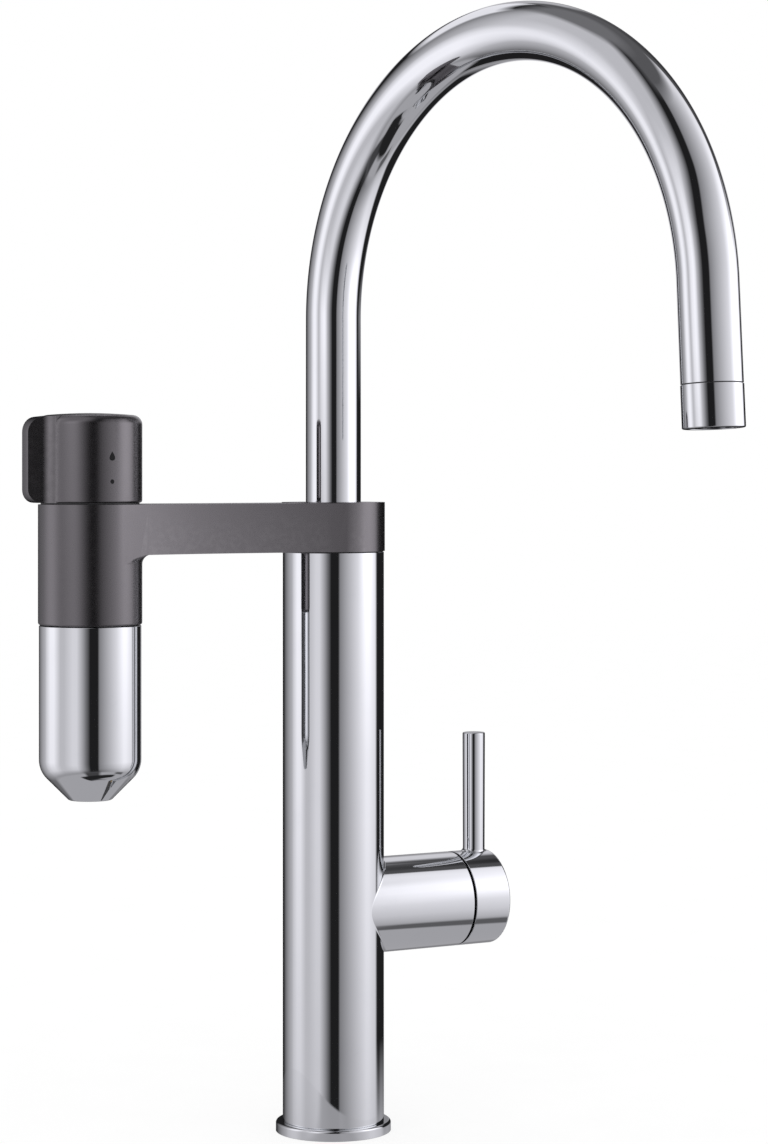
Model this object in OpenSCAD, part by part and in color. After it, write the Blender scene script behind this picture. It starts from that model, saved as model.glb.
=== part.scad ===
// Tall single-lever kitchen mixer tap with a side lever, an arched spout and a filter unit on an arm.
// Origin: axis of the column in the plane of the worktop. +Z is up, the lever hub points along +X,
// the filter arm along -X, and the user stands on the -Y side. Sizes are in millimetres.

/* [Column and flange] */
// Diameter of the column
column_d = 44; // [43:0.5:48]
// Height of the column's top above the worktop
column_top = 251.3; // [235:0.1:290]
// Wall of the column
column_wall = 2.1; // [1.8:0.1:2.4]
// Diameter of the flange
flange_d = 50; // [49:0.5:62]
// Thickness of the flange
flange_t = 4.6; // [4:0.1:8]
// Rounding of the flange's upper edge
flange_edge = 1.2; // [0.4:0.1:2]

/* [Worktop fixing] */
// Diameter of the threaded shank
shank_d = 33; // [32:0.5:33.5]
// Diameter of the hose way through the shank
hose_way_d = 26.4; // [25:0.2:27]
// Length of the shank below the worktop's surface
shank_drop = 62; // [55:1:90]
// Depth of the shank's thread inside the column
shank_grip = 15; // [10:1:25]
// Thickness of the worktop between flange and washer
worktop_t = 30; // [15:1:38]
// Outer diameter of both washers
washer_d = 54; // [48:1:64]
// Thickness of the rubber washer
rubber_t = 3; // [2:0.5:5]
// Thickness of the steel washer
steel_t = 2; // [1:0.5:3]
// Height of the backnut
nut_h = 8; // [5:0.5:11]
// Size of the backnut across its corners
nut_corners = 48; // [44:1:54]
// Diameter of an inlet's thread wall
inlet_d = 9.2; // [8:0.2:10]
// Depth of an inlet's thread
inlet_depth = 13; // [9:0.5:14]
// Distance between the hot and cold inlets
inlet_pitch = 14; // [13:0.2:14.6]

/* [Lever hub] */
// Diameter of the lever hub
hub_d = 41.6; // [41:0.2:43]
// Height of the hub's axis above the worktop
hub_z = 96.3; // [90:0.1:140]
// Distance from the column's axis to the hub's mouth
hub_reach = 59.75; // [54:0.25:66]
// Diameter of the mixing cartridge
cartridge_d = 34.8; // [34:0.1:35.2]
// Gap between the hub and the lever's cap
cap_gap = 0.9; // [0.8:0.1:1.2]

/* [Lever] */
// Length of the lever's cap along the hub
cap_len = 17.75; // [16.5:0.25:24]
// Rounding of the cap's outer edge
cap_edge = 1; // [0.4:0.1:1.5]
// Diameter of the rod at its top
rod_d_top = 10; // [8:0.1:12]
// Diameter of the rod at its foot
rod_d_foot = 9.7; // [8:0.1:10]
// Height of the rod above the cap
rod_len = 52.6; // [30:0.1:90]
// Distance from the rod's axis to the cap's end face
rod_inset = 6.5; // [6.5:0.1:7]
// Side of the square lever stem
stem_w = 7.4; // [6.6:0.1:7.6]
// Largest tilt of the lever
tilt_max = 20; // [10:1:20]

/* [Spout] */
// Outer diameter of the spout tube
tube_d = 24; // [23:0.2:24.2]
// Wall of the spout tube
tube_wall = 1.4; // [1:0.1:1.8]
// Radius of the arch at the tube's centre line
bend_r = 112.7; // [90:0.1:130]
// Height at which the arch begins
bend_z = 352.2; // [300:0.1:420]
// Angle of the arch
bend_sweep = 176.75; // [150:0.25:180]
// Straight length of tube after the arch
drop_len = 39; // [20:0.5:60]
// Length of the outlet collar
collar_len = 17; // [16:0.5:26]
// Direction of the spout at rest, counted from +X
spout_angle = -80.3; // [-100:0.1:-70]
// Outer diameter of the inner tube for filtered water
filtered_d = 7; // [6:0.2:8]

/* [Filter arm] */
// Distance from the column's axis to the filter's axis
arm_reach = 115.9; // [105:0.1:140]
// Diameter of the arm's ring round the column
ring_d = 44.8; // [44:0.2:50]
// Height of the ring and the arm
arm_h = 21.2; // [21:0.2:25]
// Radius of the hollow flanks of the arm
flank_r = 210; // [150:1:400]
// Diameter of the filter housing
housing_d = 43.2; // [42.4:0.2:48]
// Depth of the filter housing below the arm
housing_drop = 29.1; // [28:0.1:34]
// Thickness of the gasket under the ring
gasket_t = 0.4; // [0.3:0.1:0.8]
// Radius of the fillet under the arm, where it meets the housing
arm_fillet = 4; // [2:0.5:6]

/* [Filter capsule] */
// Diameter of the capsule holder
holder_d = 42.4; // [42:0.2:46]
// Height of the capsule holder below the housing
holder_h = 72.5; // [62:0.5:110]
// Diameter of the holder's flat end
holder_end_d = 17.8; // [12:0.2:24]
// Radius where the wall turns into the cone
holder_turn_r = 11; // [4:0.5:14]
// Wall of the capsule holder
holder_wall = 4; // [3.9:0.1:4.4]
// Gap between the housing and the holder
holder_gap = 0.3; // [0.2:0.1:0.6]
// Pitch of the holder's thread
holder_pitch = 2.5; // [1.5:0.1:2.5]
// Turns that free the holder
holder_turns = 3; // [2:1:3]

/* [Filter knob] */
// Diameter of the knob
knob_d = 43.2; // [40:0.2:46]
// Height of the knob at its middle
knob_h = 37.2; // [34:0.1:44]
// Radius of the domed top of the knob
knob_crown = 200; // [120:5:400]
// Gap between the housing and the knob
knob_gap = 0.7; // [0.5:0.1:1.5]
// Rounding of the knob's upper edge
knob_edge = 4; // [1:0.1:4.5]
// Distance from the knob's axis to the end of its fin
fin_reach = 29.5; // [26:0.1:34]
// Width of the fin at its end
fin_w = 6; // [4:0.1:8]
// Angle at which each side of the fin widens toward the knob
fin_flare = 21; // [12:1:24]
// Fillet where each side of the fin runs into the knob
fin_root = 8; // [3:0.5:8]

/* [Hidden] */
$fn = 96;

// Clearances that the pieces share
slip = 0.05;        // fixed pieces that are pushed or screwed together, on the radius
running = 0.08;     // pieces that turn or slide in each other, on the radius
seal_slack = 0.05;  // between a seal and the bore round it
flat_gap = 0.05;    // between faces that seat on each other
loose = 0.3;        // moving faces that aren't a fit
over = 1;           // how far a cutting shape runs past what it cuts
drill_past = 0.3;   // how far a drilled channel runs past the channel that enters its side
cross_step = 0.2;   // how much narrower that side channel is, on the radius

// Thin seals with their grooves, and the sockets in the grub screws
thin_seal = 0.55;
thin_groove = 1.15;
thin_groove_h = 1.5;
hex_socket_r = 1.4;
hex_socket_depth = 2;

// Column and base
column_r = column_d / 2;
column_bore = column_r - column_wall;
lower_bore = column_bore - 1.3;
shank_r = shank_d / 2;
hose_way_r = hose_way_d / 2;
shank_top = flange_t + shank_grip;
gasket_in = shank_r + 3.5;
gasket_out = flange_d / 2 - 2;
gasket_h = 1.8;
washer_gap = 0.5;
nut_bottom = -worktop_t - rubber_t - steel_t - nut_h;
free_end_top = nut_bottom - 2;
groove_w = 1;
groove_depth = 0.8;
flange_play = 0.2;

// The valve block is the solid part of the column behind the hub
block_margin = 5.5;
hub_r = hub_d / 2;
block_low = hub_z - hub_r - block_margin;
block_high = hub_z + hub_r + block_margin;
channel_r = 2.9;
port_spread = inlet_pitch / 2;
port_drop = 4;
mixed_rise = 8;
inlet_top = block_low + inlet_depth;
branch_z = inlet_top + 2.5;

// Mixing cartridge: its pieces are stacked along X, inwards from the hub's mouth
cartridge_r = cartridge_d / 2;
hub_bore_play = 0.1;
hub_bore = cartridge_r + hub_bore_play;
mouth_step = 0.8;
mouth_bore = hub_bore + mouth_step;
base_t = 4;
disc_t = 3;
slider_t = 3.5;
coupler_t = 6;
guide_play = 0.7;
guide_len = 9;
guide_neck = 4.3;
nut_len = 3.6;
dome_skirt = 2.8;
stack_faces = 7;
stack_len = base_t + disc_t + slider_t + coupler_t + guide_play + guide_len + guide_neck + nut_len
    + dome_skirt + stack_faces * flat_gap;
seat_x = hub_reach - stack_len;
cup_wall = 2.9;
guide_r = cartridge_r - cup_wall - running;
neck_step = 3.4;
neck_r = guide_r - neck_step;
base_x = seat_x + flat_gap;
disc_x = base_x + base_t + flat_gap;
slider_x = disc_x + disc_t + flat_gap;
coupler_x = slider_x + slider_t + flat_gap;
guide_x = coupler_x + coupler_t + flat_gap + guide_play;
pivot_inset = 3.9;
pivot_x = guide_x + pivot_inset;
neck_x = guide_x + guide_len;
cup_end = neck_x + guide_neck;
port_r = 2.7;
port_seal_section = 1.5;
port_seal_t = 1.2;
slider_r = 10.5;
slider_hollow = 1.5;
slider_rim = 2.5;
ball_inset = 3.2;
stem_arm = pivot_x - coupler_x - ball_inset;
ball_r = 3.05;
ball_hole_r = 3.2;
pin_r = 1.5;
pin_wall = 2.4;
pin_len = 2 * (guide_r - pin_wall);
nut_x = cup_end + flat_gap;
nut_play = 0.5;
dome_seat_x = nut_x + nut_len + flat_gap;
mouth_edge = 0.5;
mouth_depth = 1.5;
stem_slot_half = 7.6;
stem_neck_r = 2;

// The cap's hollow and the dome share one centre, the lever's pivot
mouth_from_pivot = hub_reach - pivot_x;
corner_reach = norm([mouth_from_pivot, hub_r - mouth_edge]);
edge_reach = norm([mouth_from_pivot - mouth_edge, hub_r]);
cap_hollow_r = max(corner_reach, edge_reach) + loose;
dome_base_r = mouth_bore - slip;
dome_r = norm([mouth_from_pivot - flat_gap, dome_base_r]);
dome_wall = 1.2;
dome_opening = tilt_max + 12;
cap_x = hub_reach + cap_gap;
cap_end = cap_x + cap_len;
rod_x = cap_end - rod_inset;
rod_foot_fillet = 1.5;
rod_edge = 0.5;
cap_floor = 2.4;
stem_end = cap_end - cap_floor;
square_back = 3;
square_x = pivot_x - square_back;
grub_inset = 5.2;
grub_x = cap_end - grub_inset;
grub_r = 2.5;
grub_len = 8;
plug_r = 3;
plug_t = 2.5;
socket_play = 0.05;

// Arm, ring and spout foot
ring_z = column_top + gasket_t;
arm_top = ring_z + arm_h;
ring_r = ring_d / 2;
housing_r = housing_d / 2;
housing_low = ring_z - housing_drop;
spigot_r = column_bore - slip;
spigot_len = 16;
spigot_low = ring_z - spigot_len;
tube_r = tube_d / 2;
tube_in = tube_r - tube_wall;
foot_wall = 2.47;
foot_r = tube_r + slip + foot_wall;
foot_bore = foot_r + running;
foot_step_w = 2;
stem_foot_r = foot_r - foot_step_w;
stem_foot_bore = stem_foot_r + running;
washer_drop = 5.6;
washer_z = ring_z - washer_drop;
washer_t = 0.95;
foot_step = washer_z + washer_t + flat_gap;
foot_past = 2.8;
foot_low = spigot_low - foot_past;
ring_roof = 2.7;
foot_top = arm_top - ring_roof;
stem_foot_wall = 2.9;
foot_way_r = stem_foot_r - stem_foot_wall;
tube_drop = 2.1;
tube_low = ring_z - tube_drop;
top_hole_r = tube_r + loose;
filtered_rise = 11.8;
filtered_z = ring_z + filtered_rise;
chamber_h = 3;
chamber_depth = 1.6;
chamber_r = foot_bore + chamber_depth;
upper_seal_rise = 16.4;
upper_seal_z = ring_z + upper_seal_rise;
lower_seal_rise = 6.6;
lower_seal_z = ring_z + lower_seal_rise;
foot_seal_section = 0.93;
low_seal_drop = 9;
low_seal_z = ring_z - low_seal_drop;
low_seal_section = 0.88;
feed_tube_r = 2.5;
feed_tube_in = 1.6;
feed_wall = 1.3;
feed_x = -(stem_foot_bore + feed_wall + feed_tube_r);
feed_seat = 6;
feed_grip = 1;
feed_channel_r = 1.5;
feed_channel_wall = 1;
feed_channel_x = -(foot_bore + feed_channel_wall + feed_channel_r);
feed_rise = 4.1;
feed_z = ring_z + feed_rise;
arm_channel_r = 1.8;
flank_steps = 24;
spigot_seal_section = 0.8;
spigot_seal_r = column_bore - seal_slack / 2;
spigot_seal_drop = 3.4;
spigot_seal_z = ring_z - spigot_seal_drop;
spigot_screw_drop = 8.2;
spigot_screw_z = ring_z - spigot_screw_drop;
spigot_screw_r = 2.5;

// The swivel stop: a boss under the spigot and a part ring on the spout's foot
swivel_min = -84.7;
swivel_max = 65.3;
stop_margin = 1;
boss_half = 16;
boss_drop = 3.1;
stop_depth = 0.9;
stop_in = stem_foot_r - stop_depth;
stop_wing = 4.68;
stop_out = stem_foot_r + stop_wing;
stop_t = 1.8;
stop_inset = 0.4;
stop_span = 360 - 2 * boss_half - (swivel_max - swivel_min) - 2 * stop_margin;
stop_start = 180 - boss_half - stop_margin - swivel_max - stop_span;

// Filter head in the housing
knob_r = knob_d / 2;
housing_set = 0.3;
housing_top = arm_top - housing_set;
knob_low = housing_top + knob_gap;
knob_top = knob_low + knob_h;
web_drop = 13.7;
web_low = ring_z - web_drop;
socket_depth = 6.1;
socket_top = web_low + socket_depth;
tip_socket_depth = 4.8;
tip_socket_top = socket_top + tip_socket_depth;
seat_wall = 2.3;
seat_z = tip_socket_top + seat_wall;
neck_wide_r = 8;
neck_tip_r = 5;
pocket_r = 9.05;
return_offset = [12.6, 7];
return_rise = 3.5;
return_low_z = web_low + return_rise;
return_r = 1.7;
housing_wall = 2.8;
cavity_r = housing_r - housing_wall;
holder_r = holder_d / 2;
thread_r = cavity_r - running;
valve_seal_t = 1;
head_low = seat_z + valve_seal_t + flat_gap;
head_chamber_r = 7;
head_chamber_h = 10.8;
head_waist_r = 7.9;
hex_h = 4.9;
hex_corner_r = 11;
head_neck_r = 5.5;
head_neck_h = 6.4;
head_seal_r = pocket_r - seal_slack / 2;
head_seal_section = 0.7;
head_seal_drop = 5;
head_seal_z = housing_top - head_seal_drop;
valve_disc_t = 3;
valve_disc_r = head_chamber_r - running;
spindle_r = 3.2;
driver_t = 1.6;
driver_len = 11;
driver_w = 4;
hex_low = housing_top + flat_gap;
head_top = hex_low + hex_h + head_neck_h;
clip_t = 0.9;
clip_r = 5;
clip_groove = 0.7;
driver_z = head_low + 2 * valve_disc_t + 3 * flat_gap;
boss_gap = 1.4;
boss_low = head_top + clip_t + boss_gap;
spindle_grip = 11.5;
spindle_top = boss_low + spindle_grip;
knob_wall = 3;
knob_roof = 6;
knob_boss_r = 8;
knob_screw_r = 2;
knob_socket_r = 1.1;
knob_screw_rise = 5.5;
knob_screw_z = boss_low + knob_screw_rise;
knob_foot_edge = 1;
// How far the fin's top lies under the knob's
fin_drop = 0.2;
fin_foot_edge = 5.5;
fin_edge = 6.5;

// Capsule holder and cartridge
holder_top = housing_low - holder_gap;
holder_low = holder_top - holder_h;
drop_max = holder_pitch * holder_turns;
thread_spare = 5.5;
neck_top = holder_top + drop_max + thread_spare;
holder_seal_drop = 2.5;
holder_seal_z = neck_top - holder_seal_drop;
plug_play = 0.2;
wide_top = socket_top - plug_play;
wide_seal_drop = 3.5;
wide_seal_z = wide_top - wide_seal_drop;
tip_top = tip_socket_top - plug_play;
tip_seal_drop = 2;
tip_seal_z = tip_top - tip_seal_drop;
holder_neck_wall = 1.8;
holder_bore = thread_r - holder_neck_wall;
turn_span = holder_turn_r * tan(22.5);
cone_top = holder_low + holder_r - holder_end_d / 2;
end_edge = 1.5;
floor_t = 8;
shell_r = holder_bore - loose;
shell_low = holder_low + floor_t + flat_gap;
shell_drop = 5.5;
shell_top = web_low - shell_drop;
shell_wall = 1.4;
shell_floor = 3;
shell_port_r = 0.8;
shell_port_at = 6.3;
shell_way_r = 2.5;
shell_foot = 1;
medium_play = 0.2;
medium_way_r = 4.5;
medium_head = 1.5;

// Inner tube and outlet
filtered_wall = 0.9;
filtered_port_r = 1.4;
nipple_block = 3;
drop_lap = 0.5;
drop_step = 0.01;
collar_step = 0.1;
collar_r = tube_r + collar_step;
seam_w = 0.35;
nipple_step = 0.8;
nipple_r = tube_r - nipple_step;
nipple_len = 7;
collar_wall = 1.3;
insert_r = collar_r - collar_wall;
collar_lip_w = 1.2;
collar_lip_r = insert_r - collar_lip_w;
collar_lip_t = 1;
seal_t = 1.5;
seal_play = 0.2;
seal_w = 2.2;
seal_start = drop_len + nipple_len + seal_play;
insert_start = seal_start + seal_t + seal_play;
insert_end = drop_len + collar_len - collar_lip_t - flat_gap;
insert_wall = 1.2;
core_r = filtered_d / 2 + insert_wall;
core_seat = 3.5;
screen_t = 0.5;
screen_play = 0.05;

// Points on a circle's arc, for the rounded edges of turned profiles
function arc(cx, cy, r, from, to, steps = 6) =
    [for (i = [0:steps]) [cx + r * cos(from + (to - from) * i / steps),
                          cy + r * sin(from + (to - from) * i / steps)]];

// A tube between two heights
module pipe(r_out, r_in, low, high) {
    difference() {
        translate([0, 0, low]) cylinder(h = high - low, r = r_out);
        translate([0, 0, low - over]) cylinder(h = high - low + 2 * over, r = r_in);
    }
}

// A round seal
module seal_ring(r_out, section, z) {
    translate([0, 0, z]) rotate_extrude() translate([r_out - section, 0]) circle(r = section, $fn = 32);
}

// A ring-shaped cutter for a groove
module groove(r_out, r_floor, z, h) {
    pipe(r_out + over, r_floor, z - h / 2, z + h / 2);
}

// The groove for a seal of that outer radius and section
module seal_groove(r_seal, section, z) {
    groove(r_seal, r_seal - 2 * section - seal_slack, z, 2.4 * section);
}

// A drilled channel between two points
module channel(a, b, r) {
    d = b - a;
    translate(a) rotate([0, acos(d.z / norm(d)), atan2(d.y, d.x)]) cylinder(h = norm(d), r = r, $fn = 48);
}

// Turns a shape that was drawn along Z to lie along the hub
module on_hub(x = 0) {
    translate([x, 0, hub_z]) rotate([0, 90, 0]) children();
}

// Puts a shape on the filter's axis
module on_filter() {
    translate([-arm_reach, 0, 0]) children();
}

// Turns a shape from the spout's own plane to its direction at rest
module on_spout() {
    rotate([0, 0, spout_angle]) children();
}

// Puts a shape that was drawn along Z at the end of the arch, pointing down the drop
module on_drop() {
    translate([bend_r, 0, bend_z]) rotate([0, bend_sweep, 0]) translate([-bend_r, 0, 0]) children();
}

// Hot, cold and mixed ports, seen along the hub: up is -X of the turned shape
function ports() = [[port_drop, -port_spread], [port_drop, port_spread], [-mixed_rise, 0]];

module base_flange() {
    color("silver") difference() {
        rotate_extrude() polygon(concat(
            [[shank_r + flange_play, 0], [flange_d / 2, 0]],
            arc(flange_d / 2 - flange_edge, flange_t - flange_edge, flange_edge, 0, 90),
            [[shank_r + flange_play, flange_t]]));
        pipe(gasket_out, gasket_in, -over, gasket_h);
    }
}

module flange_gasket() {
    color("dimgray") pipe(gasket_out - slip, gasket_in + slip, 0, gasket_h - flat_gap);
}

// The plain neck passes the flange, and each groove ends a stretch of thread
module mounting_shank() {
    color("goldenrod") difference() {
        pipe(shank_r, hose_way_r, -shank_drop, shank_top - flat_gap);
        groove(shank_r, shank_r - groove_depth / 2, flange_t / 2, flange_t);
        groove(shank_r, shank_r - groove_depth, free_end_top + groove_w / 2, groove_w);
    }
}

module rubber_washer() {
    color("dimgray") pipe(washer_d / 2, shank_r + washer_gap, -worktop_t - rubber_t, -worktop_t);
}

module steel_washer() {
    color("silver")
        pipe(washer_d / 2, shank_r + washer_gap, -worktop_t - rubber_t - steel_t, -worktop_t - rubber_t);
}

module backnut() {
    color("goldenrod") difference() {
        translate([0, 0, nut_bottom]) cylinder(h = nut_h, r = nut_corners / 2, $fn = 6);
        translate([0, 0, nut_bottom - over]) cylinder(h = nut_h + 2 * over, r = shank_r + slip);
    }
}

// One casting: the column with its valve block, and the hub
module mixer_body() {
    cold_y = port_spread;
    port_z = hub_z - port_drop;
    color("silver") difference() {
        union() {
            translate([0, 0, flange_t]) cylinder(h = column_top - flange_t, r = column_r);
            on_hub() rotate_extrude() polygon([
                [0, 0], [hub_r, 0], [hub_r, hub_reach - mouth_edge],
                [hub_r - mouth_edge, hub_reach], [0, hub_reach]]);
        }
        translate([0, 0, flange_t - over]) cylinder(h = shank_grip + over, r = shank_r + slip);
        translate([0, 0, shank_top - over / 2])
            cylinder(h = block_low - shank_top + over / 2, r = lower_bore);
        translate([0, 0, block_high]) cylinder(h = column_top - block_high + over, r = column_bore);
        on_hub(seat_x) cylinder(h = hub_reach, r = hub_bore);
        on_hub(cup_end - mouth_depth) cylinder(h = hub_reach, r = mouth_bore);
        for (side = [-1, 1]) {
            translate([0, side * port_spread, block_low - over])
                cylinder(h = inlet_depth + over, r = inlet_d / 2);
            channel([0, side * port_spread, inlet_top - over], [0, side * port_spread, port_z], channel_r);
            channel([0, side * port_spread, port_z], [seat_x + over, side * port_spread, port_z],
                    channel_r);
        }
        channel([0, 0, hub_z + mixed_rise], [seat_x + over, 0, hub_z + mixed_rise], channel_r);
        channel([0, 0, hub_z + mixed_rise], [0, 0, block_high + over], channel_r);
        channel([0, cold_y, branch_z], [feed_x, 0, branch_z], feed_tube_in - cross_step);
        channel([feed_x, 0, branch_z - feed_tube_in - drill_past], [feed_x, 0, block_high + over],
                feed_tube_in);
        channel([feed_x, 0, block_high - feed_seat], [feed_x, 0, block_high + over], feed_tube_r + slip);
        channel([0, spigot_r - 2, spigot_screw_z], [0, column_r + over, spigot_screw_z],
                spigot_screw_r + slip);
    }
}

// Carries cold water from the valve block up to the arm
module filter_feed_tube() {
    color("peru") translate([feed_x, 0, 0])
        pipe(feed_tube_r, feed_tube_in, block_high - feed_seat + flat_gap,
             spigot_low + feed_seat + feed_grip);
}

module cartridge_housing() {
    color("white") difference() {
        on_hub(base_x) cylinder(h = cup_end - base_x, r = cartridge_r);
        on_hub(base_x + base_t) cylinder(h = neck_x - base_x - base_t + flat_gap, r = guide_r + running);
        on_hub(base_x + base_t) cylinder(h = cup_end, r = neck_r + loose);
        for (p = ports()) on_hub(base_x - over) translate(p) {
            cylinder(h = base_t + 2 * over, r = port_r);
            cylinder(h = port_seal_t + over, r = port_r + port_seal_section + slip);
        }
    }
}

module port_seals() {
    color("dimgray") for (p = ports()) on_hub(base_x) translate(p)
        pipe(port_r + port_seal_section, port_r, 0, port_seal_t);
}

module fixed_disc() {
    color("whitesmoke") difference() {
        on_hub(disc_x) cylinder(h = disc_t, r = guide_r - loose);
        for (p = ports()) on_hub(disc_x - over) translate(p) cylinder(h = disc_t + 2 * over, r = port_r);
    }
}

// Slides on the fixed disc; the hollow in its face joins the ports
module mixing_disc() {
    color("gainsboro") difference() {
        on_hub(slider_x) cylinder(h = slider_t, r = slider_r);
        on_hub(slider_x - over) cylinder(h = over + slider_hollow, r = slider_r - slider_rim);
    }
}

module disc_coupler() {
    color("white") difference() {
        on_hub(coupler_x) cylinder(h = coupler_t, r = slider_r);
        on_hub(coupler_x - over) cylinder(h = coupler_t + 2 * over, r = ball_hole_r);
    }
}

// Turns with the lever and carries its pivot pin
module stem_guide() {
    color("white") difference() {
        union() {
            on_hub(guide_x) cylinder(h = guide_len, r = guide_r);
            on_hub(guide_x) cylinder(h = guide_len + guide_neck, r = neck_r);
        }
        translate([guide_x - over, -stem_w / 2 - loose, hub_z - stem_slot_half])
            cube([guide_len + guide_neck + 2 * over, stem_w + 2 * loose, 2 * stem_slot_half]);
        translate([pivot_x, 0, hub_z]) rotate([90, 0, 0])
            cylinder(h = pin_len + 2 * flat_gap, r = pin_r + 0.02, center = true);
    }
}

module stem_pin() {
    color("silver") translate([pivot_x, 0, hub_z]) rotate([90, 0, 0])
        cylinder(h = pin_len, r = pin_r, center = true);
}

// A ball end moves the coupler, and the square end carries the lever
module lever_stem() {
    color("silver") difference() {
        union() {
            translate([pivot_x - stem_arm, 0, hub_z]) sphere(r = ball_r);
            on_hub(pivot_x - stem_arm) cylinder(h = square_x - pivot_x + stem_arm + 0.5, r = stem_neck_r);
            translate([square_x, -stem_w / 2, hub_z - stem_w / 2])
                cube([stem_end - square_x, stem_w, stem_w]);
        }
        translate([pivot_x, 0, hub_z]) rotate([90, 0, 0])
            cylinder(h = stem_w + 2 * over, r = pin_r + running, center = true);
    }
}

module cartridge_nut() {
    color("goldenrod") on_hub() pipe(mouth_bore - slip, neck_r + nut_play, nut_x, nut_x + nut_len);
}

// A turned cover that shows in the gap when the lever is tilted
module hub_dome() {
    color("silver") on_hub(pivot_x) rotate_extrude() difference() {
        union() {
            translate([dome_base_r - dome_wall, dome_seat_x - pivot_x])
                square([dome_wall, mouth_from_pivot - flat_gap - dome_seat_x + pivot_x]);
            intersection() {
                circle(r = dome_r, $fn = 180);
                translate([0, mouth_from_pivot - flat_gap - 0.01])
                    square([dome_r, dome_r]);
            }
        }
        circle(r = dome_r - dome_wall, $fn = 180);
        polygon([[0, 0], 2 * dome_r * [sin(dome_opening), cos(dome_opening)], [0, 2 * dome_r]]);
    }
}

// Cap and rod are one casting
module lever_handle() {
    rod_root = hub_z + hub_r - 3;
    rod_top = hub_z + hub_r + rod_len;
    foot_r = rod_d_foot / 2;
    color("silver") difference() {
        union() {
            on_hub(cap_x) rotate_extrude() polygon(concat(
                [[0, 0], [hub_r, 0]],
                arc(hub_r - cap_edge, cap_len - cap_edge, cap_edge, 0, 90),
                [[0, cap_len]]));
            translate([rod_x, 0, 0]) rotate_extrude() polygon(concat(
                [[0, rod_root], [foot_r + rod_foot_fillet, rod_root]],
                arc(foot_r + rod_foot_fillet, hub_z + hub_r + rod_foot_fillet, rod_foot_fillet, 270, 180),
                arc(rod_d_top / 2 - rod_edge, rod_top - rod_edge, rod_edge, 0, 90),
                [[0, rod_top]]));
        }
        translate([pivot_x, 0, hub_z]) sphere(r = cap_hollow_r);
        translate([pivot_x, -stem_w / 2 - socket_play, hub_z - stem_w / 2 - socket_play])
            cube([stem_end - pivot_x + flat_gap, stem_w + 2 * socket_play, stem_w + 2 * socket_play]);
        translate([grub_x, 0, hub_z - hub_r - over]) cylinder(h = hub_r + over, r = grub_r + slip);
        translate([grub_x, 0, hub_z - hub_r - over]) cylinder(h = plug_t + over, r = plug_r + slip);
    }
}

module lever_grub_screw() {
    top = hub_z - stem_w / 2 - flat_gap;
    color("dimgray") difference() {
        translate([grub_x, 0, top - grub_len]) cylinder(h = grub_len, r = grub_r);
        translate([grub_x, 0, top - grub_len - over])
            cylinder(h = hex_socket_depth + over, r = hex_socket_r, $fn = 6);
    }
}

module lever_plug() {
    low = hub_z - sqrt(hub_r * hub_r - plug_r * plug_r) + 0.1;
    color("silver") translate([grub_x, 0, low])
        cylinder(h = hub_z - hub_r + plug_t - flat_gap - low, r = plug_r);
}

// Plan of the arm: two hollow flanks that touch the ring and the housing
module arm_plan() {
    near = flank_r + ring_r;
    far = flank_r + housing_r;
    along = (near * near - far * far + arm_reach * arm_reach) / (2 * arm_reach);
    aside = sqrt(near * near - along * along);
    x_near = -along * ring_r / near;
    y_near = aside * ring_r / near;
    x_far = -arm_reach + (arm_reach - along) * housing_r / far;
    y_far = aside * housing_r / far;
    upper = arc(-along, aside, flank_r, atan2(y_near - aside, x_near + along),
                atan2(y_far - aside, x_far + along), flank_steps);
    polygon(concat([[0, 0]], upper, [[-arm_reach, 0]],
                   [for (i = [flank_steps:-1:0]) [upper[i].x, -upper[i].y]]));
}

// The fillet's profile, turned round the housing and kept under the arm
module under_fillet() {
    intersection() {
        translate([0, 0, ring_z - arm_fillet]) linear_extrude(arm_fillet + 0.5) arm_plan();
        on_filter() translate([0, 0, ring_z - arm_fillet]) rotate_extrude() polygon(concat(
            [[housing_r - 0.5, 0]], arc(housing_r + arm_fillet, 0, arm_fillet, 180, 90, 8),
            [[housing_r + arm_fillet, arm_fillet + 0.5], [housing_r - 0.5, arm_fillet + 0.5]]));
    }
}

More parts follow.
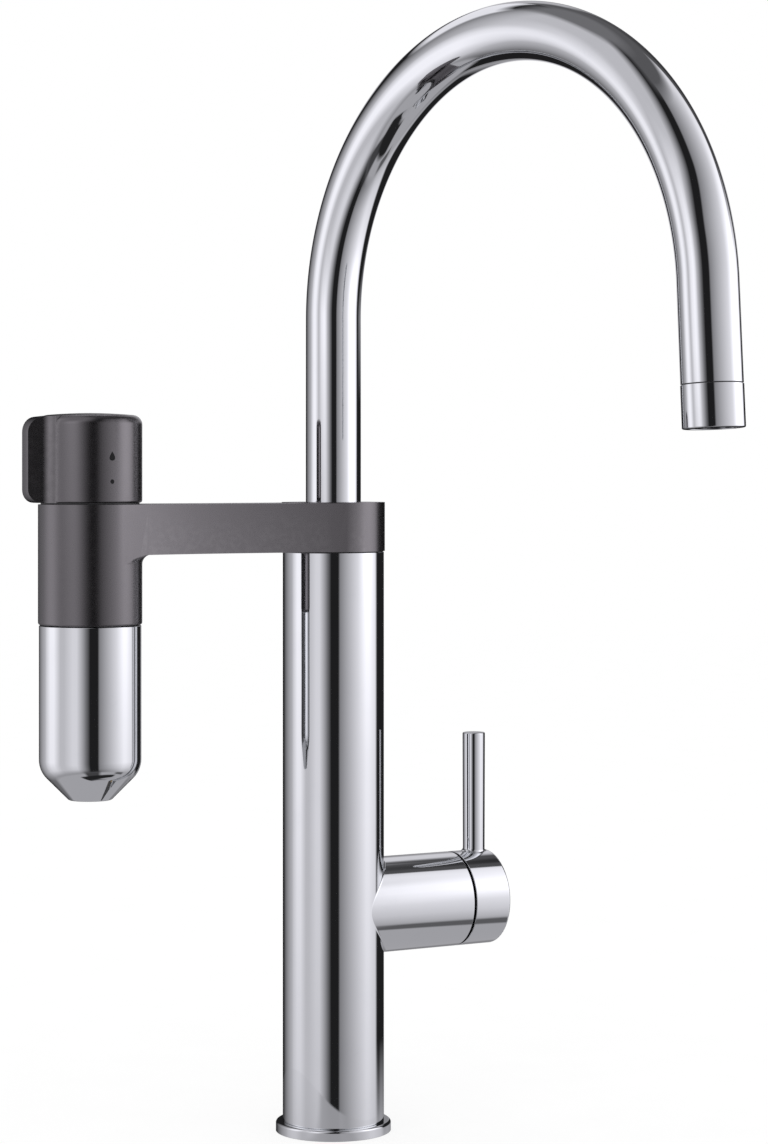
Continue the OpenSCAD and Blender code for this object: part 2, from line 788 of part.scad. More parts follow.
module filter_arm() {
    return_x = -arm_reach + return_offset.x;
    return_y = return_offset.y;
    low_edge = 1;
    color("dimgray") difference() {
        union() {
            translate([0, 0, ring_z]) linear_extrude(arm_h - housing_set) arm_plan();
            translate([0, 0, ring_z]) cylinder(h = arm_h, r = ring_r);
            on_filter() translate([0, 0, housing_low]) rotate_extrude() polygon(concat(
                [[0, 0]], arc(housing_r - low_edge, low_edge, low_edge, -90, 0),
                [[housing_r, housing_top - housing_low], [0, housing_top - housing_low]]));
            under_fillet();
            translate([0, 0, spigot_low]) cylinder(h = ring_z - spigot_low + over, r = spigot_r);
            translate([0, 0, spigot_low - boss_drop]) rotate([0, 0, 180 - boss_half])
                rotate_extrude(angle = 2 * boss_half) translate([stem_foot_bore + loose, 0])
                    square([spigot_r - loose - stem_foot_bore - loose, boss_drop + over]);
        }
        translate([0, 0, spigot_low - over]) cylinder(h = arm_h, r = stem_foot_bore);
        translate([0, 0, washer_z]) cylinder(h = foot_top + 0.1 - washer_z, r = foot_bore);
        translate([0, 0, washer_z]) cylinder(h = arm_top, r = top_hole_r);
        pipe(chamber_r, foot_bore - over, filtered_z - chamber_h / 2, filtered_z + chamber_h / 2);
        seal_groove(spigot_seal_r, spigot_seal_section, spigot_seal_z);
        channel([0, stem_foot_bore + 3, spigot_screw_z], [0, spigot_r + over, spigot_screw_z],
                spigot_screw_r + slip);
        channel([feed_x, 0, spigot_low - boss_drop - over],
                [feed_x, 0, spigot_low + feed_seat + feed_grip + flat_gap], feed_tube_r + slip);
        channel([feed_channel_x, 0, spigot_low + feed_seat], [feed_channel_x, 0, feed_z], feed_channel_r);
        channel([feed_channel_x, 0, feed_z], [-arm_reach + pocket_r - 0.5, 0, feed_z], arm_channel_r);
        channel([return_x, return_y, filtered_z], [-foot_bore + 0.6, return_y / 2, filtered_z],
                return_r - cross_step);
        channel([return_x, return_y, return_low_z - return_r - drill_past],
                [return_x, return_y, filtered_z + return_r + drill_past], return_r);
        channel([-arm_reach + neck_wide_r - 1.5, return_y / 2, return_low_z],
                [return_x, return_y, return_low_z], return_r - cross_step);
        on_filter() {
            translate([0, 0, housing_low - over]) cylinder(h = web_low - housing_low + over, r = cavity_r);
            translate([0, 0, web_low - over])
                cylinder(h = socket_top - web_low + over, r = neck_wide_r + running);
            translate([0, 0, web_low]) cylinder(h = tip_socket_top - web_low, r = neck_tip_r + running);
            translate([0, 0, web_low]) cylinder(h = seat_z - web_low + over, r = 3);
            translate([0, 0, seat_z]) cylinder(h = housing_top - seat_z + over, r = pocket_r);
        }
    }
}

module ring_gasket() {
    color("black") pipe(column_r - 0.4, column_bore + 0.2, column_top, ring_z);
}

module spigot_seal() {
    color("black") seal_ring(spigot_seal_r, spigot_seal_section, spigot_seal_z);
}

module spigot_screw() {
    depth = stem_foot_bore + 3.3;
    length = column_r - 0.6 - depth;
    color("dimgray") translate([0, depth, spigot_screw_z]) rotate([-90, 0, 0]) difference() {
        cylinder(h = length, r = spigot_screw_r);
        translate([0, 0, length - hex_socket_depth])
            cylinder(h = hex_socket_depth + over, r = hex_socket_r, $fn = 6);
    }
}

// The spout's path, filled to radius r, from height low to length down the drop. The drop runs a little
// way into the arch, and step makes it that much wider, so that the two surfaces never coincide
module spout_path(r, low, length, step) {
    translate([0, 0, low]) cylinder(h = bend_z - low, r = r);
    translate([bend_r, 0, bend_z]) rotate([90, 0, 180])
        rotate_extrude(angle = bend_sweep, $fn = 180) translate([bend_r, 0]) circle(r = r);
    on_drop() translate([0, 0, -drop_lap]) cylinder(h = length + drop_lap, r = r + step);
}

module spout_tube() {
    color("silver") on_spout() difference() {
        union() {
            spout_path(tube_r, tube_low, drop_len, -drop_step);
            on_drop() cylinder(h = drop_len + nipple_len, r = nipple_r);
        }
        spout_path(tube_in, tube_low - over, drop_len + nipple_len + over, drop_step);
        channel([0, 0, filtered_z], [-tube_r - over, 0, filtered_z], filtered_port_r);
    }
}

// Soldered to the tube; turns in the arm's ring and spigot
module spout_foot() {
    color("goldenrod") difference() {
        union() {
            translate([0, 0, foot_low]) cylinder(h = foot_top - foot_low, r = stem_foot_r);
            translate([0, 0, foot_step]) cylinder(h = foot_top - foot_step, r = foot_r);
        }
        translate([0, 0, foot_low - over]) cylinder(h = foot_top, r = foot_way_r);
        translate([0, 0, tube_low - flat_gap]) cylinder(h = foot_top, r = tube_r + slip);
        seal_groove(foot_bore - seal_slack, foot_seal_section, upper_seal_z);
        seal_groove(foot_bore - seal_slack, foot_seal_section, lower_seal_z);
        seal_groove(stem_foot_bore - seal_slack, low_seal_section, low_seal_z);
        groove(stem_foot_r, stop_in - slip, foot_low + stop_inset + stop_t / 2, stop_t + 2 * flat_gap);
        on_spout() channel([0, 0, filtered_z], [-foot_r - over, 0, filtered_z], filtered_port_r);
    }
}

module foot_seals() {
    color("black") {
        seal_ring(foot_bore - seal_slack, foot_seal_section, upper_seal_z);
        seal_ring(foot_bore - seal_slack, foot_seal_section, lower_seal_z);
    }
}

module foot_lower_seal() {
    color("black") seal_ring(stem_foot_bore - seal_slack, low_seal_section, low_seal_z);
}

module slide_washer() {
    color("white") pipe(foot_bore - slip, stem_foot_r + 0.15, washer_z, washer_z + washer_t);
}

// Snaps into the foot's groove: it keeps the spout in, and its wide side meets the boss at both ends
module swivel_stop() {
    low = foot_low + stop_inset;
    color("silver") union() {
        pipe(stem_foot_r + 0.3, stop_in, low, low + stop_t);
        translate([0, 0, low]) rotate([0, 0, stop_start]) rotate_extrude(angle = stop_span)
            translate([stop_in, 0]) square([stop_out - stop_in, stop_t]);
    }
}

module filtered_tube() {
    start = filtered_z + nipple_block;
    color("white") on_spout() difference() {
        spout_path(filtered_d / 2, start, insert_start + core_seat - 0.5, -drop_step);
        spout_path(filtered_d / 2 - filtered_wall, start - over, insert_start + core_seat, drop_step);
    }
}

// Joins the port in the foot to the inner tube
module filtered_nipple() {
    barb_r = filtered_d / 2 - filtered_wall - slip;
    barb_top = 9;
    barb_wall = 0.7;
    side_r = 2.2;
    way_r = 1.2;
    color("goldenrod") on_spout() difference() {
        union() {
            translate([0, 0, filtered_z - nipple_block])
                cylinder(h = 2 * nipple_block - flat_gap, r = filtered_d / 2 + 1);
            translate([0, 0, filtered_z]) cylinder(h = barb_top, r = barb_r);
            intersection() {
                channel([0, 0, filtered_z], [-tube_r, 0, filtered_z], side_r);
                translate([0, 0, filtered_z - nipple_block])
                    cylinder(h = 2 * nipple_block, r = tube_in - slip);
            }
        }
        channel([0, 0, filtered_z], [-tube_r, 0, filtered_z], way_r);
        translate([0, 0, filtered_z - 1]) cylinder(h = barb_top + 1 + over, r = barb_r - barb_wall);
    }
}

module outlet_collar() {
    start = drop_len + seam_w;
    end = drop_len + collar_len;
    edge = 0.4;
    color("silver") on_spout() on_drop() difference() {
        rotate_extrude() polygon([[0, start], [collar_r, start], [collar_r, end - edge],
                                  [collar_r - edge, end], [0, end]]);
        translate([0, 0, start - over]) cylinder(h = nipple_len - seam_w + over + 0.1, r = nipple_r + slip);
        translate([0, 0, start]) cylinder(h = end - collar_lip_t - start, r = insert_r + slip);
        translate([0, 0, start]) cylinder(h = collar_len, r = collar_lip_r);
    }
}

// The wide ring holds the screens, and the core ends the inner tube
module outlet_insert() {
    spokes = 3;
    spoke_w = 1.6;
    spoke_h = 2;
    lap = 0.4;
    color("dimgray") on_spout() on_drop() difference() {
        union() {
            pipe(insert_r, insert_r - insert_wall, insert_start, insert_end);
            pipe(core_r, filtered_d / 2 + slip, insert_start, insert_start + core_seat + over);
            pipe(core_r, filtered_d / 2 - filtered_wall, insert_start + core_seat, insert_end);
            for (i = [0:spokes - 1]) rotate([0, 0, i * 360 / spokes])
                translate([core_r - lap, -spoke_w / 2, insert_start])
                    cube([insert_r - core_r - lap, spoke_w, spoke_h]);
        }
        translate([0, 0, insert_start - over])
            cylinder(h = over + core_seat - seal_play, r = filtered_d / 2 + slip);
    }
}

module outlet_screens() {
    holes = 16;
    hole_r = 0.8;
    levels = [2.6, 4.2];
    color("silver") on_spout() on_drop() for (level = levels) difference() {
        pipe(insert_r - insert_wall - screen_play, core_r + screen_play,
             insert_start + level, insert_start + level + screen_t);
        for (i = [0:holes - 1]) rotate([0, 0, i * 360 / holes])
            translate([(insert_r - insert_wall + core_r) / 2, 0, insert_start])
                cylinder(h = collar_len, r = hole_r, $fn = 24);
    }
}

module outlet_seal() {
    color("black") on_spout() on_drop() pipe(insert_r, insert_r - seal_w, seal_start, seal_start + seal_t);
}

// Brass headpart of the filter valve, screwed into the housing
module valve_headpart() {
    window_z = head_low + 9.2;
    window_r = 1.1;
    color("goldenrod") on_filter() difference() {
        union() {
            translate([0, 0, head_low]) cylinder(h = head_chamber_h, r = head_waist_r);
            translate([0, 0, head_low + head_chamber_h])
                cylinder(h = hex_low - head_low - head_chamber_h + 0.5, r = pocket_r - slip);
            translate([0, 0, hex_low]) cylinder(h = hex_h, r = hex_corner_r, $fn = 6);
            translate([0, 0, hex_low]) cylinder(h = hex_h + head_neck_h, r = head_neck_r);
        }
        translate([0, 0, head_low - over]) cylinder(h = head_chamber_h + over, r = head_chamber_r);
        translate([0, 0, head_low]) cylinder(h = head_top, r = spindle_r + running);
        for (turn = [0, 90]) rotate([0, 0, turn + 45])
            channel([-pocket_r, 0, window_z], [pocket_r, 0, window_z], window_r);
        seal_groove(head_seal_r, head_seal_section, head_seal_z);
    }
}

module headpart_seal() {
    color("black") on_filter() seal_ring(head_seal_r, head_seal_section, head_seal_z);
}

module valve_seat_seal() {
    color("black") on_filter() pipe(head_waist_r - 0.3, 4.2, seat_z, seat_z + valve_seal_t);
}

// A disc with two quarter openings, which the two ceramic discs share
module quarter_disc(low) {
    rim = 1.5;
    middle = 1.5;
    difference() {
        translate([0, 0, low]) cylinder(h = valve_disc_t, r = valve_disc_r);
        for (turn = [0, 180]) translate([0, 0, low - over]) rotate([0, 0, turn + 5])
            rotate_extrude(angle = 80) translate([middle, 0])
                square([valve_disc_r - rim - middle, valve_disc_t + 2 * over]);
    }
}

module valve_fixed_disc() {
    color("whitesmoke") on_filter() quarter_disc(head_low + flat_gap);
}

// At rest its openings stand across those of the fixed disc, so the filtered water is shut off
module valve_turning_disc() {
    color("gainsboro") on_filter() rotate([0, 0, 90]) quarter_disc(head_low + valve_disc_t + 2 * flat_gap);
}

module valve_spindle() {
    color("goldenrod") on_filter() difference() {
        union() {
            translate([0, 0, driver_z]) cylinder(h = spindle_top - driver_z, r = spindle_r);
            translate([-driver_len / 2, -driver_w / 2, driver_z]) cube([driver_len, driver_w, driver_t]);
        }
        groove(spindle_r, spindle_r - clip_groove, head_top + flat_gap + clip_t / 2, clip_t + 2 * flat_gap);
        groove(spindle_r, spindle_r - thin_groove, hex_low - 1, thin_groove_h);
    }
}

module spindle_seal() {
    color("black") on_filter() seal_ring(spindle_r + running - seal_slack, thin_seal, hex_low - 1);
}

module spindle_clip() {
    low = head_top + flat_gap;
    color("silver") on_filter() pipe(clip_r, spindle_r - clip_groove + flat_gap, low, low + clip_t);
}

// Half outline of the knob, or of its fin: rounded foot, side, rounded upper edge and domed top
function crowned(r, top, foot_edge, top_edge) =
    let (centre = top - knob_crown,
         rise = sqrt(pow(knob_crown - top_edge, 2) - pow(r - top_edge, 2)),
         lean = atan2(rise, r - top_edge))
    concat([[0, knob_low]], arc(r - foot_edge, knob_low + foot_edge, foot_edge, -90, 0, 8),
           arc(r - top_edge, centre + rise, top_edge, 0, lean, 8),
           [for (i = [1:5]) let (a = lean + (90 - lean) * i / 6)
               [knob_crown * cos(a), centre + knob_crown * sin(a)]],
           [[0, top]]);

// Plan of the fin, which widens toward the round knob and runs into it with a fillet on each side
module fin_plan() {
    // Distance from the axis to the line on which the fillet's centre lies, beside the fin's side
    beside = fin_reach * sin(fin_flare) + fin_w / 2 * cos(fin_flare) + fin_root;
    along = sqrt((knob_r + fin_root) * (knob_r + fin_root) - beside * beside);
    centre = [beside * sin(fin_flare) + along * cos(fin_flare),
              beside * cos(fin_flare) - along * sin(fin_flare)];
    on_side = centre - fin_root * [sin(fin_flare), cos(fin_flare)];
    on_knob = centre * knob_r / (knob_r + fin_root);
    inner = knob_r - 6;
    far = fin_reach + over;
    far_y = fin_w / 2 - over * tan(fin_flare);
    polygon([[inner, -on_side[1]], on_side - [0, 2 * on_side[1]], [far, -far_y],
             [far, far_y], on_side, [inner, on_side[1]]]);
    difference() {
        polygon([[inner, -on_knob[1]], on_knob - [0, 2 * on_knob[1]], on_side - [0, 2 * on_side[1]],
                 on_side, on_knob, [inner, on_knob[1]]]);
        for (side = [-1, 1]) translate([centre[0], side * centre[1]]) circle(r = fin_root, $fn = 128);
    }
}

module filter_knob() {
    color("dimgray") on_filter() difference() {
        union() {
            rotate_extrude() polygon(crowned(knob_r, knob_top, knob_foot_edge, knob_edge));
            rotate([0, 0, 180]) intersection() {
                translate([0, 0, knob_low - over]) linear_extrude(knob_h + 2 * over) fin_plan();
                rotate_extrude() polygon(crowned(fin_reach, knob_top - fin_drop, fin_foot_edge, fin_edge));
            }
        }
        difference() {
            translate([0, 0, knob_low - over])
                cylinder(h = knob_h - knob_roof + over, r = knob_r - knob_wall);
            translate([0, 0, boss_low]) cylinder(h = knob_h, r = knob_boss_r);
        }
        translate([0, 0, boss_low - over]) cylinder(h = spindle_top - boss_low + over + flat_gap,
                                                    r = spindle_r + slip);
        channel([0, 0, knob_screw_z], [0, knob_r + over, knob_screw_z], knob_screw_r + slip);
    }
}

module knob_grub_screw() {
    length = knob_boss_r - spindle_r - 0.2;
    color("dimgray") on_filter() translate([0, spindle_r + flat_gap, knob_screw_z]) rotate([-90, 0, 0])
        difference() {
            cylinder(h = length, r = knob_screw_r);
            translate([0, 0, length - hex_socket_depth])
                cylinder(h = hex_socket_depth + over, r = knob_socket_r, $fn = 6);
        }
}

// Half outline of the holder's outside, from its flat end up to its shoulder
function holder_outline() = concat(
    [[0, holder_low]],
    arc(holder_end_d / 2 - end_edge * tan(22.5), holder_low + end_edge, end_edge, -90, -45, 4),
    arc(holder_r - holder_turn_r, cone_top + turn_span, holder_turn_r, -45, 0, 6),
    [[holder_r, holder_top]]);

module capsule_holder() {
    slope = holder_wall * tan(22.5);
    color("silver") on_filter() difference() {
        union() {
            rotate_extrude() polygon(concat(holder_outline(), [[0, holder_top]]));
            translate([0, 0, holder_top - over]) cylinder(h = neck_top - holder_top + over, r = thread_r);
        }
        rotate_extrude() polygon([
            [0, holder_low + floor_t],
            [shell_r - (cone_top + slope - holder_low - floor_t) + loose, holder_low + floor_t],
            [holder_bore, cone_top + slope], [holder_bore, neck_top + over], [0, neck_top + over]]);
        groove(thread_r, thread_r - thin_groove, holder_seal_z, thin_groove_h);
    }
}

module holder_seal() {
    color("black") on_filter() seal_ring(thread_r + running - seal_slack, thin_seal, holder_seal_z);
}

// The shell follows the holder's cone, and its neck plugs into the housing
module filter_cartridge() {
    cone = cone_top + holder_wall * tan(22.5);
    foot_r = shell_r - (cone - shell_low);
    color("white") on_filter() difference() {
        union() {
            rotate_extrude() polygon([[0, shell_low], [foot_r, shell_low], [shell_r, cone],
                                      [shell_r, shell_top], [0, shell_top]]);
            translate([0, 0, shell_top - over]) cylinder(h = wide_top - shell_top + over, r = neck_wide_r);
            translate([0, 0, shell_top]) cylinder(h = tip_top - shell_top, r = neck_tip_r);
        }
        translate([0, 0, cone + shell_foot])
            cylinder(h = shell_top - shell_wall - cone - shell_foot, r = shell_r - shell_wall);
        translate([0, 0, cone]) cylinder(h = tip_top, r = shell_way_r);
        for (i = [0:3]) rotate([0, 0, i * 90]) translate([shell_port_at, 0, shell_top - shell_floor])
            cylinder(h = tip_top - shell_top, r = shell_port_r, $fn = 24);
        groove(neck_wide_r, neck_wide_r - thin_groove, wide_seal_z, thin_groove_h);
        groove(neck_tip_r, neck_tip_r - thin_groove, tip_seal_z, thin_groove_h);
    }
}

// A hollow block of filter medium that stands in the shell
module filter_medium() {
    low = cone_top + holder_wall * tan(22.5) + shell_foot + flat_gap;
    color("darkslategray") on_filter()
        pipe(shell_r - shell_wall - medium_play, medium_way_r, low, shell_top - shell_wall - medium_head);
}

module cartridge_seals() {
    color("black") on_filter() {
        seal_ring(neck_wide_r + running - seal_slack, thin_seal, wide_seal_z);
        seal_ring(neck_tip_r + running - seal_slack, thin_seal, tip_seal_z);
    }
}

base_flange();
flange_gasket();
mounting_shank();
rubber_washer();
steel_washer();
backnut();
mixer_body();
filter_feed_tube();
cartridge_housing();
port_seals();
fixed_disc();
mixing_disc();
disc_coupler();
stem_guide();
stem_pin();
lever_stem();
cartridge_nut();
hub_dome();
lever_handle();
lever_grub_screw();
lever_plug();
filter_arm();
ring_gasket();
spigot_seal();
spigot_screw();
spout_tube();
spout_foot();
foot_seals();
foot_lower_seal();
slide_washer();
swivel_stop();
filtered_tube();
filtered_nipple();
outlet_collar();
outlet_insert();
outlet_screens();
outlet_seal();
valve_headpart();
headpart_seal();
valve_seat_seal();
valve_fixed_disc();
valve_turning_disc();
valve_spindle();
spindle_seal();
spindle_clip();
filter_knob();
knob_grub_screw();
capsule_holder();
holder_seal();
filter_cartridge();
filter_medium();
cartridge_seals();
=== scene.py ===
"""Looks of the tall kitchen mixer tap with its filter unit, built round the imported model.

Sizes in the classes are millimetres, as on a drawing. Meshes are made in metres, in the model's frame.
"""
import logging
import math
from collections.abc import Callable, Iterable, Sequence
from dataclasses import dataclass, field
from enum import Enum

import bmesh
import bpy
import numpy as np
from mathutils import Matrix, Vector
from mathutils.geometry import tessellate_polygon


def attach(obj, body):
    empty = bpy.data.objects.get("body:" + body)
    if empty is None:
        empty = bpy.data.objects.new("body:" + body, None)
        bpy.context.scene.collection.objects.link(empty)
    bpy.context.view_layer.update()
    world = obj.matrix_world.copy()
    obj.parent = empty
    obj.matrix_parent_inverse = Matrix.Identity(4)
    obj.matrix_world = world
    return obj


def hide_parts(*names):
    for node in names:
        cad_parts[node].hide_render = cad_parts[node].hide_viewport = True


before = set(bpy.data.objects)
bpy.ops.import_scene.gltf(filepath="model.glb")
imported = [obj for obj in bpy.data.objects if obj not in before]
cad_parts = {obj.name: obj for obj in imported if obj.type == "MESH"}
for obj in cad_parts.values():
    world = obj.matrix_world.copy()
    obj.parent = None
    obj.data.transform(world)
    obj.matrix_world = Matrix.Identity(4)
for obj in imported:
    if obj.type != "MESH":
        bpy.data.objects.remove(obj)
LOG = logging.getLogger("tap")
MM = 0.001
HUB_Z = 96.3
FILTER_X = -115.9
Colour = tuple[float, float, float]
Socket = bpy.types.NodeSocket
Value = float | tuple | Socket


class Slot(Enum):
    """The record's material slots."""

    CHROME = "chrome"
    GUNMETAL = "gunmetal"
    KNOB = "knob_gunmetal"
    BRASS = "brass"
    COPPER = "copper"
    STAINLESS = "stainless"
    SCREW = "screw_steel"
    RUBBER = "rubber"
    CERAMIC = "ceramic"
    ACETAL = "acetal"
    DARK_PLASTIC = "dark_plastic"
    CARBON = "carbon"


# Node trees

class Sheet:
    """Short calls that add and join the nodes of one tree."""

    def __init__(self, tree: bpy.types.NodeTree) -> None:
        """Keeps the tree that the nodes go into."""
        self.tree = tree

    def feed(self, socket: Socket, value: Value) -> None:
        """Sets a socket, or joins it to another one.

        Args:
            socket: The input to set.
            value: A number, a colour, a vector or an output to join.
        """
        if isinstance(value, Socket):
            self.tree.links.new(value, socket)
        else:
            socket.default_value = value

    def node(self, kind: str, inputs: dict[str | int, Value] | None = None,
             **settings: object) -> bpy.types.Node:
        """Adds a node.

        Args:
            kind: Blender's name of the node type.
            inputs: Values or outputs for its inputs.
            **settings: Attributes of the node.

        Returns:
            The node.
        """
        made = self.tree.nodes.new(kind)
        for name, value in settings.items():
            setattr(made, name, value)
        for key, value in (inputs or {}).items():
            self.feed(made.inputs[key], value)
        return made

    def math(self, operation: str, a: Value, b: Value = 0.0) -> Socket:
        """Adds a Math node and returns its result."""
        return self.node("ShaderNodeMath", {0: a, 1: b}, operation=operation).outputs[0]

    def plus(self, a: Value, b: Value) -> Socket:
        """Adds two numbers."""
        return self.math("ADD", a, b)

    def minus(self, a: Value, b: Value) -> Socket:
        """Takes the second number from the first."""
        return self.math("SUBTRACT", a, b)

    def times(self, a: Value, b: Value) -> Socket:
        """Multiplies two numbers."""
        return self.math("MULTIPLY", a, b)

    def over(self, a: Value, b: Value) -> Socket:
        """Divides the first number by the second."""
        return self.math("DIVIDE", a, b)

    def remap(self, value: Value, low: float, high: float, to_low: Value, to_high: Value,
              smooth: bool = True) -> Socket:
        """Maps a value from one range to another.

        Args:
            value: The value to map.
            low: Start of its range.
            high: End of its range.
            to_low: Result at the start.
            to_high: Result at the end.
            smooth: True for soft ends.

        Returns:
            The mapped value.
        """
        kind = "SMOOTHSTEP" if smooth else "LINEAR"
        return self.node("ShaderNodeMapRange", {0: value, 1: low, 2: high, 3: to_low, 4: to_high},
                         interpolation_type=kind).outputs[0]

    def split(self, vector: Value) -> tuple[Socket, Socket, Socket]:
        """Returns the X, Y and Z of a vector."""
        parts = self.node("ShaderNodeSeparateXYZ", {0: vector}).outputs
        return parts[0], parts[1], parts[2]

    def join(self, x: Value, y: Value, z: Value) -> Socket:
        """Returns a vector of three numbers."""
        return self.node("ShaderNodeCombineXYZ", {0: x, 1: y, 2: z}).outputs[0]

    def noise(self, vector: Value, scale: Value, detail: float = 2.0, rough: float = 0.5) -> Socket:
        """Returns a noise value from 0 to 1."""
        inputs = {"Vector": vector, "Scale": scale, "Detail": detail, "Roughness": rough}
        return self.node("ShaderNodeTexNoise", inputs).outputs[0]

    def blend(self, share: Value, a: Value, b: Value) -> Socket:
        """Mixes two colours.

        Args:
            share: 0 for the first colour, 1 for the second.
            a: The first colour.
            b: The second colour.

        Returns:
            The mixed colour.
        """
        mix = self.node("ShaderNodeMix", data_type="RGBA")
        for key, value in ((0, share), (6, a), (7, b)):
            self.feed(mix.inputs[key], value)
        return mix.outputs[2]


def blank_sheet(owner: bpy.types.ID) -> Sheet:
    """Empties the node tree of a material or a world.

    Args:
        owner: The material or world.

    Returns:
        The sheet of its tree.
    """
    owner.use_nodes = True
    owner.node_tree.nodes.clear()
    return Sheet(owner.node_tree)


class Group:
    """A node group with named inputs and outputs, built once and used in many trees."""

    def __init__(self, name: str, kind: str, inputs: dict[str, object], outputs: Sequence[str]) -> None:
        """Makes the empty group.

        Args:
            name: Name of the group.
            kind: "ShaderNodeTree" or "GeometryNodeTree".
            inputs: Each input's name and first value, or its socket type for what has no value.
            outputs: Names of the outputs; "Geometry" is a geometry.
        """
        self.tree = bpy.data.node_groups.new(name, kind)
        for label, value in inputs.items():
            socket = value if isinstance(value, str) else (
                "NodeSocketVector" if isinstance(value, tuple) else "NodeSocketFloat")
            made = self.tree.interface.new_socket(label, in_out="INPUT", socket_type=socket)
            if not isinstance(value, str):
                made.default_value = value
        for label in outputs:
            socket = "NodeSocketGeometry" if label == "Geometry" else "NodeSocketFloat"
            self.tree.interface.new_socket(label, in_out="OUTPUT", socket_type=socket)
        self.sheet = Sheet(self.tree)
        self.given = self.sheet.node("NodeGroupInput").outputs
        self.result = self.sheet.node("NodeGroupOutput").inputs

    def place(self, sheet: Sheet, inputs: dict[str, Value]) -> bpy.types.bpy_prop_collection:
        """Places the group in a material.

        Args:
            sheet: The material's sheet.
            inputs: Values of the group's inputs.

        Returns:
            The placed group's outputs.
        """
        node = sheet.node("ShaderNodeGroup", node_tree=self.tree)
        for key, value in inputs.items():
            sheet.feed(node.inputs[key], value)
        return node.outputs


class Effect(Group):
    """A shader group that follows a place on the piece and has one setting."""

    def __init__(self, name: str, setting: str, value: float, outputs: Sequence[str]) -> None:
        """Makes the empty group.

        Args:
            name: Name of the group.
            setting: Name of its setting.
            value: First value of the setting.
            outputs: Names of the outputs.
        """
        super().__init__(name, "ShaderNodeTree", {"Vector": (0.0, 0.0, 0.0), setting: value}, outputs)
        self.vector = self.given["Vector"]
        self.setting_name = setting
        self.setting = self.given[setting]


class Effects:
    """The shader groups that the finishes share."""

    def __init__(self) -> None:
        """Builds every group once."""
        self.marks = self._handling_marks()
        self.grain = self._fine_grain()
        self.waves = self._polish_waves()
        self.turned = self._turned_lines()
        self.skin = self._moulded_skin()
        self.wear = self._edge_wear()

    @staticmethod
    def _handling_marks() -> Effect:
        """Builds the soft patches that handling and drying water leave on a surface.

        Returns:
            The effect.
        """
        made = Effect("handling_marks", "Scale", 60.0, ["Mask"])
        s = made.sheet
        patches = s.remap(s.noise(made.vector, made.setting, 3.0, 0.6), 0.48, 0.72, 0.0, 1.0)
        streaks = s.noise(made.vector, s.times(made.setting, 9.0), 4.0, 0.65)
        s.feed(made.result["Mask"], s.times(patches, s.remap(streaks, 0.35, 0.75, 0.2, 1.0)))
        return made

    @staticmethod
    def _fine_grain() -> Effect:
        """Builds the fine even grain of a blasted and coated metal.

        Returns:
            The effect.
        """
        made = Effect("fine_grain", "Scale", 3000.0, ["Value", "Height"])
        s = made.sheet
        fine = s.noise(made.vector, made.setting, 2.0, 0.6)
        coarse = s.noise(made.vector, s.times(made.setting, 0.12), 2.0, 0.5)
        s.feed(made.result["Value"], s.plus(s.times(fine, 0.6), s.times(coarse, 0.4)))
        s.feed(made.result["Height"], fine)
        return made

    @staticmethod
    def _polish_waves() -> Effect:
        """Builds the slight waviness that belt polishing leaves under chrome.

        Returns:
            The effect.
        """
        made = Effect("polish_waves", "Scale", 60.0, ["Height"])
        s = made.sheet
        long_waves = s.noise(made.vector, made.setting, 1.0, 0.4)
        peel = s.noise(made.vector, s.times(made.setting, 8.0), 1.0, 0.5)
        s.feed(made.result["Height"], s.plus(long_waves, s.times(peel, 0.015)))
        return made

    @staticmethod
    def _turned_lines() -> Effect:
        """Builds the rings that a lathe tool leaves round the Z axis.

        Returns:
            The effect.
        """
        made = Effect("turned_lines", "Pitch", 0.0002, ["Value"])
        s = made.sheet
        x, y, z = s.split(made.vector)
        reach = s.math("SQRT", s.plus(s.times(x, x), s.times(y, y)))
        along = s.over(s.plus(reach, z), made.setting)
        s.feed(made.result["Value"], s.noise(s.join(along, 0.0, 0.0), 1.0, 3.0, 0.7))
        return made

    @staticmethod
    def _moulded_skin() -> Effect:
        """Builds the pebbled skin of moulded plastic and rubber.

        Returns:
            The effect.
        """
        made = Effect("moulded_skin", "Scale", 900.0, ["Value", "Height"])
        s = made.sheet
        cells = s.node("ShaderNodeTexVoronoi", {"Vector": made.vector, "Scale": made.setting},
                       feature="SMOOTH_F1").outputs[0]
        cloud = s.noise(made.vector, s.times(made.setting, 0.1), 3.0, 0.6)
        s.feed(made.result["Value"], cloud)
        s.feed(made.result["Height"], s.plus(cells, s.times(cloud, 0.5)))
        return made

    @staticmethod
    def _edge_wear() -> Effect:
        """Builds a mask of the outer edges, broken up where they have been rubbed.

        Returns:
            The effect.
        """
        made = Effect("edge_wear", "Amount", 0.5, ["Mask"])
        s = made.sheet
        edge = s.remap(s.node("ShaderNodeNewGeometry").outputs["Pointiness"], 0.52, 0.6, 0.0, 1.0)
        broken = s.remap(s.noise(made.vector, 400.0, 3.0, 0.6), 0.4, 0.65, 0.3, 1.0)
        s.feed(made.result["Mask"], s.times(s.times(edge, broken), made.setting))
        return made


# Finishes

@dataclass(frozen=True)
class Axis:
    """A turning axis: a point on it in millimetres and its turn, as a Mapping node takes them."""

    at: tuple[float, float, float] = (0.0, 0.0, 0.0)
    turn: tuple[float, float, float] = (0.0, 0.0, 0.0)


COLUMN = Axis()
HUB = Axis((0.0, 0.0, HUB_Z), (0.0, -math.pi / 2, 0.0))
FILTER = Axis((FILTER_X, 0.0, 0.0))


